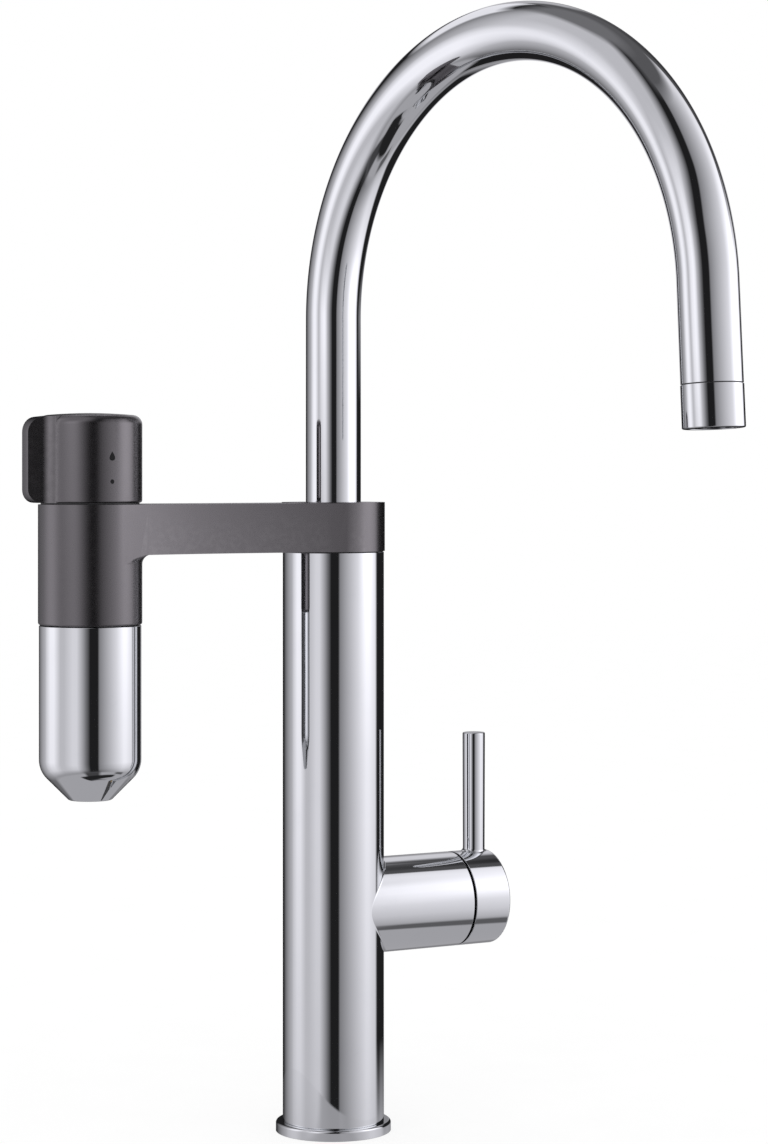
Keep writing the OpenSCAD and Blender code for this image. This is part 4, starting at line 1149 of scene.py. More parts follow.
@dataclass(frozen=True)
class Rounding:
    """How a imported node's edges are rounded, in millimetres and degrees."""

    width: float
    sharp: float = 38.0
    segments: int = 3
    merge: float = 0.001
    flat: float = 0.4
    on_wall: float = 0.04
    upright: float = 0.05
    same_way: float = 0.97

    def true_normals(self, mesh: bpy.types.Mesh, walls: Sequence[Round], blend: Blend | None = None) -> None:
        """Gives the corners that lie on upright round walls the exact normals of those walls.

        Args:
            mesh: The mesh.
            walls: Its round walls.
            blend: Changes the normals last, from the corners in millimetres, their normals and their faces'.
        """
        count = len(mesh.loops)
        point, normal = np.empty(len(mesh.vertices) * 3), np.empty(count * 3)
        index, face = np.empty(count, int), np.empty(len(mesh.polygons) * 3)
        sizes = np.empty(len(mesh.polygons), int)
        mesh.vertices.foreach_get("co", point)
        mesh.loops.foreach_get("vertex_index", index)
        mesh.corner_normals.foreach_get("vector", normal)
        mesh.polygons.foreach_get("normal", face)
        mesh.polygons.foreach_get("loop_total", sizes)
        corner = point.reshape(-1, 3)[index] / MM
        normal, face = normal.reshape(-1, 3), np.repeat(face.reshape(-1, 3), sizes, 0)
        for wall in walls:
            ray = corner[:, :2] - (wall.x, wall.y)
            far = np.linalg.norm(ray, axis=1)
            ray = wall.side * ray / np.maximum(far, 1e-9)[:, None]
            on_wall = (np.abs(far - wall.radius) < self.on_wall) & (np.abs(face[:, 2]) < self.upright)
            on_wall &= (ray * face[:, :2]).sum(1) > self.same_way
            normal[on_wall] = np.hstack([ray, np.zeros((count, 1))])[on_wall]
        if blend is not None:
            normal = blend(corner, normal, face)
        mesh.normals_split_custom_set(normal.tolist())

    def copy(self, node: str, name: str, walls: Sequence[Round],
             blend: Blend | None = None) -> bpy.types.Object:
        """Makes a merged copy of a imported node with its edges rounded.

        Args:
            node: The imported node.
            name: Name of the copy.
            walls: Its upright round walls.
            blend: Changes its normals last.

        Returns:
            The copy, with its modifiers applied.
        """
        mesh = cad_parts[node].data.copy()
        mesh.name = name
        shape = bmesh.new()
        shape.from_mesh(mesh)
        bmesh.ops.remove_doubles(shape, verts=shape.verts, dist=self.merge * MM)
        bmesh.ops.dissolve_limit(shape, angle_limit=math.radians(self.flat), verts=shape.verts,
                                 edges=shape.edges)
        shape.to_mesh(mesh)
        shape.free()
        mesh.shade_smooth()
        made = add_object(name, mesh)
        rounding = made.modifiers.new("edges", "BEVEL")
        rounding.width = self.width * MM
        rounding.segments = self.segments
        rounding.limit_method = "ANGLE"
        rounding.angle_limit = math.radians(self.sharp)
        rounding.harden_normals = True
        rounding.use_clamp_overlap = True
        made.modifiers.new("normals", "WEIGHTED_NORMAL").keep_sharp = True
        evaluated = made.evaluated_get(bpy.context.evaluated_depsgraph_get())
        rounded = bpy.data.meshes.new_from_object(evaluated)
        made.modifiers.clear()
        made.data = rounded
        self.true_normals(rounded, walls, blend)
        return made


# Sub-assemblies

@dataclass
class Column:
    """The flange, and the column with its hub, cast in one."""

    radius: float = 22.0
    top: float = 251.3
    edge: float = 0.25
    bore: float = 19.9
    lower_bore: float = 18.6
    thread_bore: float = 16.55
    thread_top: float = 19.6
    block_low: float = 70.0
    block_high: float = 122.6
    flange_radius: float = 25.0
    flange_height: float = 4.6
    flange_bore: float = 16.7
    recess_bore: float = 20.0
    recess_radius: float = 23.0
    recess_top: float = 1.8
    hub_z: float = HUB_Z
    hub_band: float = 29.0
    hub_radius: float = 20.8
    hub_reach: float = 59.6
    hub_lip: float = 0.35
    hub_fillet: float = 1.3
    mouth_bore: float = 18.3
    cartridge_bore: float = 17.5
    cartridge_seat: float = 22.5
    mouth_step: float = 51.75
    screw_z: float = 243.5
    screw_band: float = 4.5
    screw_hole: float = 2.55
    columns: int = 256

    def flange(self) -> None:
        """Makes the thin round flange."""
        skin = Skin()
        height, recess = self.flange_height, self.recess_top
        skin.lathe([(self.flange_radius, 0, 0.15), (self.flange_radius, height, 1.2),
                    (self.flange_bore, height, 0.2), (self.flange_bore, 0, 0.2),
                    (self.recess_bore, 0, 0.1), (self.recess_bore, recess),
                    (self.recess_radius, recess), (self.recess_radius, 0, 0.1)], columns=self.columns)
        finish_piece(skin.object("flange"), "tap_body", CHROME, COLUMN, "base_flange")

    def body(self) -> None:
        """Makes the column with the hub growing out of its side."""
        skin, edge, bottom, lip = Skin(), self.edge, self.flange_height, self.hub_reach - self.hub_lip
        low, high = self.hub_z - self.hub_band, self.hub_z + self.hub_band
        screw_low, screw_high = self.screw_z - self.screw_band, self.screw_z + self.screw_band
        self._plain(skin, bottom + edge, low)
        hub = Opening(self.hub_radius, self.hub_z, column=0, half_columns=self.columns // 4,
                      fillet=lambda turn: np.full_like(turn, self.hub_fillet))
        band = Band(skin, Frame(), self.radius, low, high, self.columns, rows=64)
        ring = band.pierce(hub)[0]
        own = band.branch(hub, ring, lip, rows=14)
        # The hub's mouth and bores, nearer to the axis than its wall, take the near-black painted shade of
        # the gap under the lever.
        skin.lathe([(self.hub_radius, lip), (self.hub_radius, self.hub_reach, 0.3),
                    (self.mouth_bore, self.hub_reach, 0.3), (self.mouth_bore, self.mouth_step),
                    (self.cartridge_bore, self.mouth_step), (self.cartridge_bore, self.cartridge_seat),
                    (0, self.cartridge_seat), (0, lip)],
                   own, angles=ring[0], closed=False, inner=self.hub_radius - edge)
        self._plain(skin, high, screw_low)
        hole = Opening(self.screw_hole, self.screw_z, column=self.columns // 4, half_columns=10)
        outer, inner = (Band(skin, Frame(), radius, screw_low, screw_high, self.columns, rows=20, side=side)
                        for radius, side in ((self.radius, 1.0), (self.bore, -1.0)))
        ring, (_, reach) = outer.pierce(hole)[0], inner.pierce(hole)[0]
        outer.branch(hole, ring, reach, rows=3, side=-1.0)
        self._plain(skin, screw_high, self.top - edge)
        rim = [(self.radius, self.top - edge), (self.radius, self.top, edge), (self.bore, self.top, edge),
               (self.bore, screw_high)]
        well = [(self.bore, screw_low), (self.bore, self.block_high), (0, self.block_high), (0, screw_low)]
        foot = [(0, self.block_low), (self.lower_bore, self.block_low),
                (self.lower_bore, self.thread_top, 0.3), (self.thread_bore, self.thread_top, 0.3),
                (self.thread_bore, bottom, 0.4), (self.radius, bottom, edge),
                (self.radius, bottom + edge), (0, bottom + edge)]
        for rows in (rim, well, foot):
            skin.lathe(rows, columns=self.columns, closed=False)
        finish_piece(skin.object("column"), "tap_body", CHROME, COLUMN, "mixer_body", inside=GAP_PAINTED_SHADE)

    def _plain(self, skin: Skin, low: float, high: float) -> None:
        """Adds a plain stretch of the column's outer wall.

        Args:
            skin: The column's skin.
            low: Where the stretch starts.
            high: Where it ends.
        """
        ray = Frame().around(np.linspace(0, 2 * math.pi, self.columns, endpoint=False))
        heights = np.array([low, high])[:, None, None]
        skin.patch(self.radius * ray[None] + heights * np.array([0, 0, 1]), np.tile(ray, (2, 1, 1)))

    def build(self) -> None:
        """Makes all of the column's pieces."""
        self.flange()
        self.body()


@dataclass
class HubCover:
    """The domed cover that shows in the gap when the lever is tilted."""

    centre: float = 43.85
    radius: float = 24.17
    wall: float = 1.2
    opening: float = 32.0
    skirt: float = 18.25
    seat: float = 56.95
    mouth: float = 59.7
    columns: int = 128

    def build(self) -> None:
        """Makes the cover as one turned shell."""
        skin, within, opening = Skin(), self.radius - self.wall, math.radians(self.opening)
        start = math.acos((self.mouth - self.centre) / self.radius)
        end = math.asin(min(1.0, (self.skirt - self.wall) / within))
        curves = [[(r * math.sin(a), self.centre + r * math.cos(a)) for a in angles]
                  for r, angles in ((self.radius, np.linspace(start, opening, 17)),
                                    (within, np.linspace(opening, end, 13)))]
        skin.lathe([(self.skirt, self.seat), *curves[0], *curves[1], (self.skirt - self.wall, self.seat)],
                   HUB_FRAME, self.columns)
        finish_piece(skin.object("hub_cover"), "tap_body", CHROME, HUB, "hub_dome")


@dataclass
class Lever:
    """The lever: a round cap with a thin rod on it, cast in one."""

    radius: float = 20.8
    near: float = 60.8
    far: float = 78.4
    edge: float = 1.0
    band_inset: float = 0.6
    rim: float = 20.0
    hollow: float = 26.18
    pivot: float = 43.85
    rod_x: float = 71.9
    rod_foot: float = 4.85
    rod_start: float = 24.0
    rod_top_radius: float = 5.0
    rod_top: float = 73.4
    rod_fillet: float = 1.5
    side_fillet: float = 0.62
    fillet_power: float = 1.5
    hole_x: float = 73.2
    hole: float = 3.05
    hole_floor: float = 17.5
    columns: int = 256

    def roll(self, turn: np.ndarray) -> np.ndarray:
        """Returns the fillet's radius, smaller where the rod stands close to the cap's end."""
        share = np.clip(np.cos(turn), 0, 1) ** self.fillet_power
        return self.rod_fillet + (self.side_fillet - self.rod_fillet) * share

    def build(self) -> None:
        """Makes the cap and the rod, and dresses the small parts in the cap."""
        skin, low, high, start = Skin(), self.near + self.band_inset, self.far - self.edge, self.rod_start
        rod = Opening(self.rod_foot, self.rod_x, column=0, half_columns=18, fillet=self.roll)
        hole = Opening(self.hole, self.hole_x, column=self.columns // 2, half_columns=10)
        band = Band(skin, HUB_FRAME, self.radius, low, high, self.columns, rows=48)
        rings = band.pierce(rod, hole)
        own = band.branch(rod, rings[0], start, rows=6)
        skin.lathe([(self.rod_foot, start), (self.rod_top_radius, self.rod_top, 0.6), (0, self.rod_top),
                    (0, start)], own, angles=rings[0][0], closed=False)
        sunk = band.branch(hole, rings[1], self.hole_floor, rows=4, side=-1.0)
        origin, w = np.array(sunk.origin), np.array(sunk.w)
        skin.plate(origin + self.hole * sunk.around(rings[1][0]) + self.hole_floor * w, sunk.w)
        skin.lathe([(self.radius, high), (self.radius, self.far, self.edge), (0, self.far), (0, high)],
                   HUB_FRAME, self.columns, closed=False)
        # The dish and its rim take the near-black painted shade of the gap between lever and hub.
        dish = np.linspace(self.rim, 0.0, 25)[::-1]
        deep = [(r, self.pivot + math.sqrt(self.hollow ** 2 - r ** 2)) for r in dish]
        skin.lathe([*deep, (self.rim, self.near, 0.1), (self.radius, self.near, 0.25),
                    (self.radius, low), (0, low)], HUB_FRAME, self.columns, closed=False,
                   inner=self.radius - 0.3)
        finish_piece(skin.object("lever"), "lever", CHROME, HUB, "lever_handle", inside=GAP_PAINTED_SHADE)
        dress_nodes(Axis((self.hole_x, 0.0, 0.0)), lever_plug=CHROME, lever_grub_screw=SCREW_STEEL)


@dataclass
class Spout:
    """The arched spout, its collar and what the collar holds."""

    radius: float = 11.98
    bore: float = 10.6
    low: float = 249.6
    bend_start: float = 352.2
    bend_radius: float = 112.7
    sweep: float = 176.75
    direction: float = -80.3
    drop: float = 39.0
    nipple: float = 7.0
    nipple_radius: float = 11.2
    collar_length: float = 17.0
    collar_radius: float = 12.1
    collar_bore: float = 10.85
    socket_radius: float = 11.25
    socket_gap: float = 0.1
    lip_radius: float = 9.6
    lip_height: float = 1.0
    seam: float = 0.38
    seam_radius: float = 11.7
    seam_inset: float = 0.03
    columns: int = 192
    arch: Deform = field(default_factory=arch_tree)

    def bend(self, obj: bpy.types.Object, finish: Finish) -> bpy.types.Object:
        """Bends a straight piece along the arch."""
        return self.arch.apply(obj, finish, COLUMN, Start=self.bend_start * MM, Radius=self.bend_radius * MM,
                               Sweep=math.radians(self.sweep), Direction=math.radians(self.direction))

    @property
    def down(self) -> float:
        """Returns the length along the tube at which its bend ends."""
        return self.bend_start + self.bend_radius * math.radians(self.sweep)

    def tube(self) -> None:
        """Makes the bent tube with its bore and the nipple in the collar."""
        skin, down, end = Skin(), self.down, self.down + self.drop
        tip = end + self.nipple
        skin.lathe([(self.radius, self.low, 0.2, 12.0), (self.radius, self.bend_start, 0, 1.95),
                    (self.radius, down, 0, 8.0), (self.radius, end, 0.12), (self.nipple_radius, end),
                    (self.nipple_radius, tip, 0.3), (self.bore, tip, 0.2, 8.0), (self.bore, down, 0, 3.9),
                    (self.bore, self.bend_start, 0, 12.0), (self.bore, self.low, 0.2)], columns=self.columns)
        finish_piece(self.bend(skin.object("spout"), CHROME), "spout", CHROME, COLUMN, "spout_tube")

    def collar(self) -> None:
        """Makes the outlet collar with its turned-in lip, and the dark seam above it."""
        top = self.down + self.drop
        start, end, floor = top + self.seam, top + self.collar_length, top + self.nipple + self.socket_gap
        skin, line = Skin(), Skin()
        skin.lathe([(self.collar_radius, start, 0.15), (self.collar_radius, end, 0.45),
                    (self.lip_radius, end, 0.25), (self.lip_radius, end - self.lip_height),
                    (self.collar_bore, end - self.lip_height), (self.collar_bore, floor),
                    (self.socket_radius, floor), (self.socket_radius, start, 0.1)], columns=self.columns)
        finish_piece(self.bend(skin.object("collar"), CHROME), "spout", CHROME, COLUMN, "outlet_collar")
        low, high = start - self.seam + self.seam_inset, start - self.seam_inset
        line.lathe([(self.seam_radius, low), (self.seam_radius, high), (self.socket_radius, high),
                    (self.socket_radius, low)], columns=self.columns)
        finish_piece(self.bend(line.object("collar_seam"), RUBBER), "spout", RUBBER, COLUMN)

    def build(self) -> None:
        """Makes the spout's pieces and dresses what it holds."""
        self.tube()
        self.collar()
        dress_nodes(COLUMN, spout_foot=BRASS, filtered_nipple=BRASS, swivel_stop=STAINLESS,
                    outlet_screens=STAINLESS, outlet_insert=DARK_PLASTIC, foot_seals=RUBBER,
                    foot_lower_seal=RUBBER, outlet_seal=RUBBER, filtered_tube=ACETAL)


@dataclass
class FilterArm:
    """The grey arm, cast in one with its ring and the housing of the filter valve."""

    axis_x: float = FILTER_X
    housing_radius: float = 21.6
    ring_radius: float = 22.4
    flank_radius: float = 210.0
    low: float = 251.7
    fillet: float = 4.0
    edge: Rounding = Rounding(0.55)
    fade_length: float = 7.0
    fade_power: float = 0.7
    fade_start: float = 2.4
    fade_rise: float = 3.0
    fade_turn: float = 0.12
    fade_flat: float = 0.992
    beside: tuple[float, float] = (0.15, 0.3)
    above: tuple[float, float] = (0.1, 0.6)
    downward: float = -0.02

    def flanks(self) -> list[Round]:
        """Finds the two hollow flanks, which touch both the ring and the housing.

        Returns:
            The flanks as round walls.
        """
        near, far = self.flank_radius + self.ring_radius, self.flank_radius + self.housing_radius
        along = (near ** 2 - far ** 2 + self.axis_x ** 2) / (2 * self.axis_x)
        aside = math.sqrt(near ** 2 - along ** 2)
        return [Round(along, side * aside, self.flank_radius, -1.0) for side in (-1, 1)]

    def fade(self, corner: np.ndarray, normal: np.ndarray, face: np.ndarray) -> np.ndarray:
        """Lets the fillet under the arm fade into the flanks.

        Args:
            corner: The mesh's corners, in millimetres.
            normal: Their normals.
            face: Their faces' normals.

        Returns:
            The changed normals.
        """
        reach = np.hypot(corner[:, 0] - self.axis_x, corner[:, 1])
        low, z = self.low - self.fillet, corner[:, 2:]
        fillet = (reach > self.housing_radius - self.beside[0])
        fillet &= (reach < self.housing_radius + self.fillet + self.beside[1])
        fillet &= (corner[:, 2] > low - self.above[0]) & (corner[:, 2] < self.low + self.above[1])
        fillet &= face[:, 2] < self.downward
        for wall in self.flanks():
            ray = np.array([wall.x, wall.y]) - corner[:, :2]
            far = np.linalg.norm(ray, axis=1)
            share = np.clip(1 - (far - wall.radius) / self.fade_length, 0, 1)[:, None] ** self.fade_power
            share *= np.clip((reach - self.housing_radius) / self.fade_start, 0, 1)[:, None]
            share *= np.clip((z - low) / self.fade_rise, 0, 1)
            share *= np.clip((self.fade_flat + face[:, 2:]) / self.fade_turn, 0, 1)
            flank = np.hstack([ray / far[:, None], np.zeros((len(far), 1))])
            mixed = normal * (1 - share) + flank * share
            mixed /= np.linalg.norm(mixed, axis=1, keepdims=True)
            normal = np.where(fillet[:, None] & (share > 0), mixed, normal)
        return normal

    def build(self) -> None:
        """Makes the arm."""
        walls = [*self.flanks(), Round(0.0, 0.0, self.ring_radius),
                 Round(self.axis_x, 0.0, self.housing_radius)]
        finish_piece(self.edge.copy("filter_arm", "arm", walls, self.fade), "tap_body", GUNMETAL, FILTER,
                     "filter_arm")


@dataclass
class Knob:
    """The grey rotary knob with its fin and its two printed marks."""

    axis_x: float = FILTER_X
    radius: float = 21.6
    edge: Rounding = Rounding(0.4)
    fin_reach: float = 29.5
    fin_width: float = 6.0
    fin_flare: float = 21.0
    fin_root: float = 8.0
    gap_ring_bore: float = 19.3
    gap_ring_radius: float = 20.5
    gap_ring_low: float = 272.66
    gap_ring_high: float = 273.35
    drop_z: float = 292.6
    drop_half: tuple[float, float] = (1.75, 1.9)
    drop_taper: float = 1.4
    dot_z: float = 282.1
    dot_half: tuple[float, float] = (0.85, 0.95)
    mark_faces: tuple[float, float] = (0.025, -0.1)
    mark_rows: int = 25
    mark_columns: int = 9
    columns: int = 192

    def body(self) -> None:
        """Makes the knob with its fin."""
        lean = math.radians(self.fin_flare)
        beside = self.fin_reach * math.sin(lean) + self.fin_width / 2 * math.cos(lean) + self.fin_root
        along = math.sqrt((self.radius + self.fin_root) ** 2 - beside ** 2)
        out = beside * math.sin(lean) + along * math.cos(lean)
        aside = beside * math.cos(lean) - along * math.sin(lean)
        walls = [Round(self.axis_x - out, side * aside, self.fin_root, -1.0) for side in (-1, 1)]
        walls += [Round(self.axis_x, 0.0, self.radius), Round(self.axis_x, 0.0, self.fin_reach)]
        finish_piece(self.edge.copy("filter_knob", "knob", walls), "knob", KNOB_METAL, FILTER, "filter_knob")

    def gap_shade_ring(self) -> None:
        """Makes the thin recessed ring under the knob, near-black as painted shade of the gap between knob
        and housing.
        """
        skin = Skin()
        skin.lathe([(self.gap_ring_bore, self.gap_ring_low, 0.1), (self.gap_ring_radius, self.gap_ring_low, 0.1),
                    (self.gap_ring_radius, self.gap_ring_high), (self.gap_ring_bore, self.gap_ring_high)],
                   FILTER_FRAME, self.columns)
        finish_piece(skin.object("knob_gap_shade_ring"), "knob", DARK_PLASTIC, FILTER)

    def mark(self, name: str, outline: list[tuple[float, float]]) -> None:
        """Makes a small printed mark on the knob's front.

        Args:
            name: Name of the piece.
            outline: Rows of half width and height, from its top to its foot, in millimetres.
        """
        skin, rows = Skin(), np.array(outline)
        front = Frame((self.axis_x, 0.0, 0.0), (0.0, -1.0, 0.0), (1.0, 0.0, 0.0))
        ray = front.around(rows[:, :1] * np.linspace(-1, 1, self.mark_columns)[None] / self.radius)
        up = rows[:, 1, None, None] * np.array(front.w)
        faces = [np.array(front.origin) + (self.radius + lift) * ray + up for lift in self.mark_faces]
        skin.patch(faces[0], ray, wrap=False)
        skin.patch(faces[1], -ray, wrap=False)
        rims = [np.concatenate([face[:, 0], face[::-1, -1]]) for face in faces]
        out = rims[0] - rims[0].mean(0)
        skin.patch(np.stack(rims), np.stack([out, out]))
        finish_piece(skin.object(name), "knob", PRINT, FILTER)

    def build(self) -> None:
        """Makes the knob, the near-black ring that paints the shade of the gap under it, and its marks."""
        self.body()
        self.gap_shade_ring()
        angle = np.linspace(0, math.pi, self.mark_rows)
        (wide, tall), (dot_wide, dot_tall) = self.drop_half, self.dot_half
        self.mark("knob_drop_mark", [(math.sin(a) * math.sin(a / 2) ** self.drop_taper * wide,
                                      self.drop_z + tall * math.cos(a)) for a in angle])
        self.mark("knob_dot_mark", [(math.sin(a) * dot_wide, self.dot_z + dot_tall * math.cos(a))
                                    for a in angle])


@dataclass
class CapsuleHolder:
    """The chrome capsule holder, screwed up into the filter housing."""

    low: float = 149.8
    foot_radius: float = 8.9
    cone_top: float = 162.1
    radius: float = 21.2
    top: float = 222.3
    thread_radius: float = 18.72
    thread_depth: float = 0.7
    thread_low: float = 222.8
    thread_high: float = 231.3
    neck_low: float = 231.5
    groove_low: float = 232.05
    groove_high: float = 233.55
    groove_radius: float = 17.57
    neck_top: float = 235.3
    bore: float = 16.92
    bore_low: float = 163.76
    floor: float = 157.8
    floor_radius: float = 10.96
    pitch: float = 2.5
    columns: int = 192
    thread: Deform = field(default_factory=thread_tree)

    def build(self) -> None:
        """Makes the holder with its cone and threaded neck."""
        skin, thread = Skin(), self.thread_radius
        skin.lathe([(0, self.low), (self.foot_radius, self.low, 1.5), (self.radius, self.cone_top, 11.0),
                    (self.radius, self.top, 0.3), (thread, self.top, 0.2, self.pitch / 12),
                    (thread, self.neck_low), (thread, self.groove_low), (self.groove_radius, self.groove_low),
                    (self.groove_radius, self.groove_high), (thread, self.groove_high),
                    (thread, self.neck_top, 0.6), (self.bore, self.neck_top, 0.3), (self.bore, self.bore_low),
                    (self.floor_radius, self.floor), (0, self.floor)],
                   FILTER_FRAME, self.columns, closed=False)
        made = self.thread.apply(skin.object("capsule"), CHROME, FILTER, Wall=thread * MM,
                                 Depth=self.thread_depth * MM, Pitch=self.pitch * MM,
                                 Low=self.thread_low * MM, High=self.thread_high * MM, Centre=FILTER_X * MM)
        finish_piece(made, "capsule", CHROME, FILTER, "capsule_holder")


@dataclass
class FilterUnit:
    """The arm, the knob and the capsule holder, with the valve and the filter inside them."""

    arm: FilterArm = field(default_factory=FilterArm)
    knob: Knob = field(default_factory=Knob)
    holder: CapsuleHolder = field(default_factory=CapsuleHolder)
    arm_screw_z: float = 243.5
    knob_screw_z: float = 291.75

    def build(self) -> None:
        """Makes the filter unit's pieces and dresses what it holds."""
        for part in (self.arm, self.knob, self.holder):
            part.build()
        lying = (math.pi / 2, 0.0, 0.0)
        dress_nodes(COLUMN, ring_gasket=RUBBER, spigot_seal=RUBBER, slide_washer=ACETAL)
        dress_nodes(Axis((0.0, 0.0, self.arm_screw_z), lying), spigot_screw=SCREW_STEEL)
        dress_nodes(Axis((FILTER_X, 0.0, self.knob_screw_z), lying), knob_grub_screw=SCREW_STEEL)
        dress_nodes(FILTER, valve_headpart=BRASS, valve_spindle=BRASS, spindle_clip=STAINLESS,
                    headpart_seal=RUBBER, valve_seat_seal=RUBBER, spindle_seal=RUBBER,
                    valve_fixed_disc=CERAMIC, valve_turning_disc=CERAMIC, holder_seal=RUBBER,
                    filter_cartridge=ACETAL, filter_medium=CARBON, cartridge_seals=RUBBER)


@dataclass
class Fixing:
    """What clamps the tap to the worktop."""

    shank_radius: float = 16.5
    hose_way: float = 13.2
    shank_low: float = -62.0
    shank_top: float = 19.55
    neck_low: float = -0.2
    neck_radius: float = 16.1
    flange_height: float = 4.6
    groove_low: float = -45.0
    groove_high: float = -44.0
    groove_radius: float = 15.7
    pitch: float = 1.5
    thread_depth: float = 0.7
    columns: int = 128
    thread: Deform = field(default_factory=thread_tree)

    def shank(self) -> None:
        """Makes the hollow threaded shank."""
        skin, radius, step = Skin(), self.shank_radius, self.pitch / 10
        skin.lathe([(self.hose_way, self.shank_low, 0.5), (radius, self.shank_low, 0.6),
                    (radius, self.groove_low), (self.groove_radius, self.groove_low),
                    (self.groove_radius, self.groove_high), (radius, self.groove_high, 0, step),
                    (radius, self.neck_low), (self.neck_radius, 0.0), (self.neck_radius, self.flange_height),
                    (radius, self.flange_height, 0, step), (radius, self.shank_top),
                    (self.hose_way, self.shank_top)], columns=self.columns)
        made = self.thread.apply(skin.object("shank"), BRASS, COLUMN, Wall=radius * MM,
                                 Depth=self.thread_depth * MM, Pitch=self.pitch * MM,
                                 Low=self.groove_high * MM, High=self.shank_top * MM)
        finish_piece(made, "tap_body", BRASS, COLUMN, "mounting_shank")

    def build(self) -> None:
        """Makes the shank, and dresses the gasket, the washers and the nut."""
        self.shank()
        dress_nodes(COLUMN, flange_gasket=RUBBER, rubber_washer=RUBBER, steel_washer=STAINLESS,
                    backnut=BRASS, filter_feed_tube=COPPER)


@dataclass
class MixingCartridge:
    """The mixing cartridge in the hub; it shows only when the lever is taken off."""

    finishes: dict[str, Finish] = field(default_factory=lambda: {
        "cartridge_housing": ACETAL, "port_seals": RUBBER, "fixed_disc": CERAMIC, "mixing_disc": CERAMIC,
        "disc_coupler": ACETAL, "stem_guide": ACETAL, "stem_pin": STAINLESS, "lever_stem": STAINLESS,
        "cartridge_nut": BRASS})

    def build(self) -> None:
        """Dresses each of its pieces."""
        dress_nodes(HUB, **self.finishes)


# The studio

@dataclass(frozen=True)
class Panel:
    """A softbox or a card that shiny metal mirrors.

    Both ranges are degrees seen from the tap: where it starts, is full, stops being full, and ends.
    """

    across: tuple[float, float, float, float]
    up: tuple[float, float, float, float]
    level: float


NO_EDGE = 190.0
EVERYWHERE = (-200.0, -NO_EDGE, NO_EDGE, 200.0)


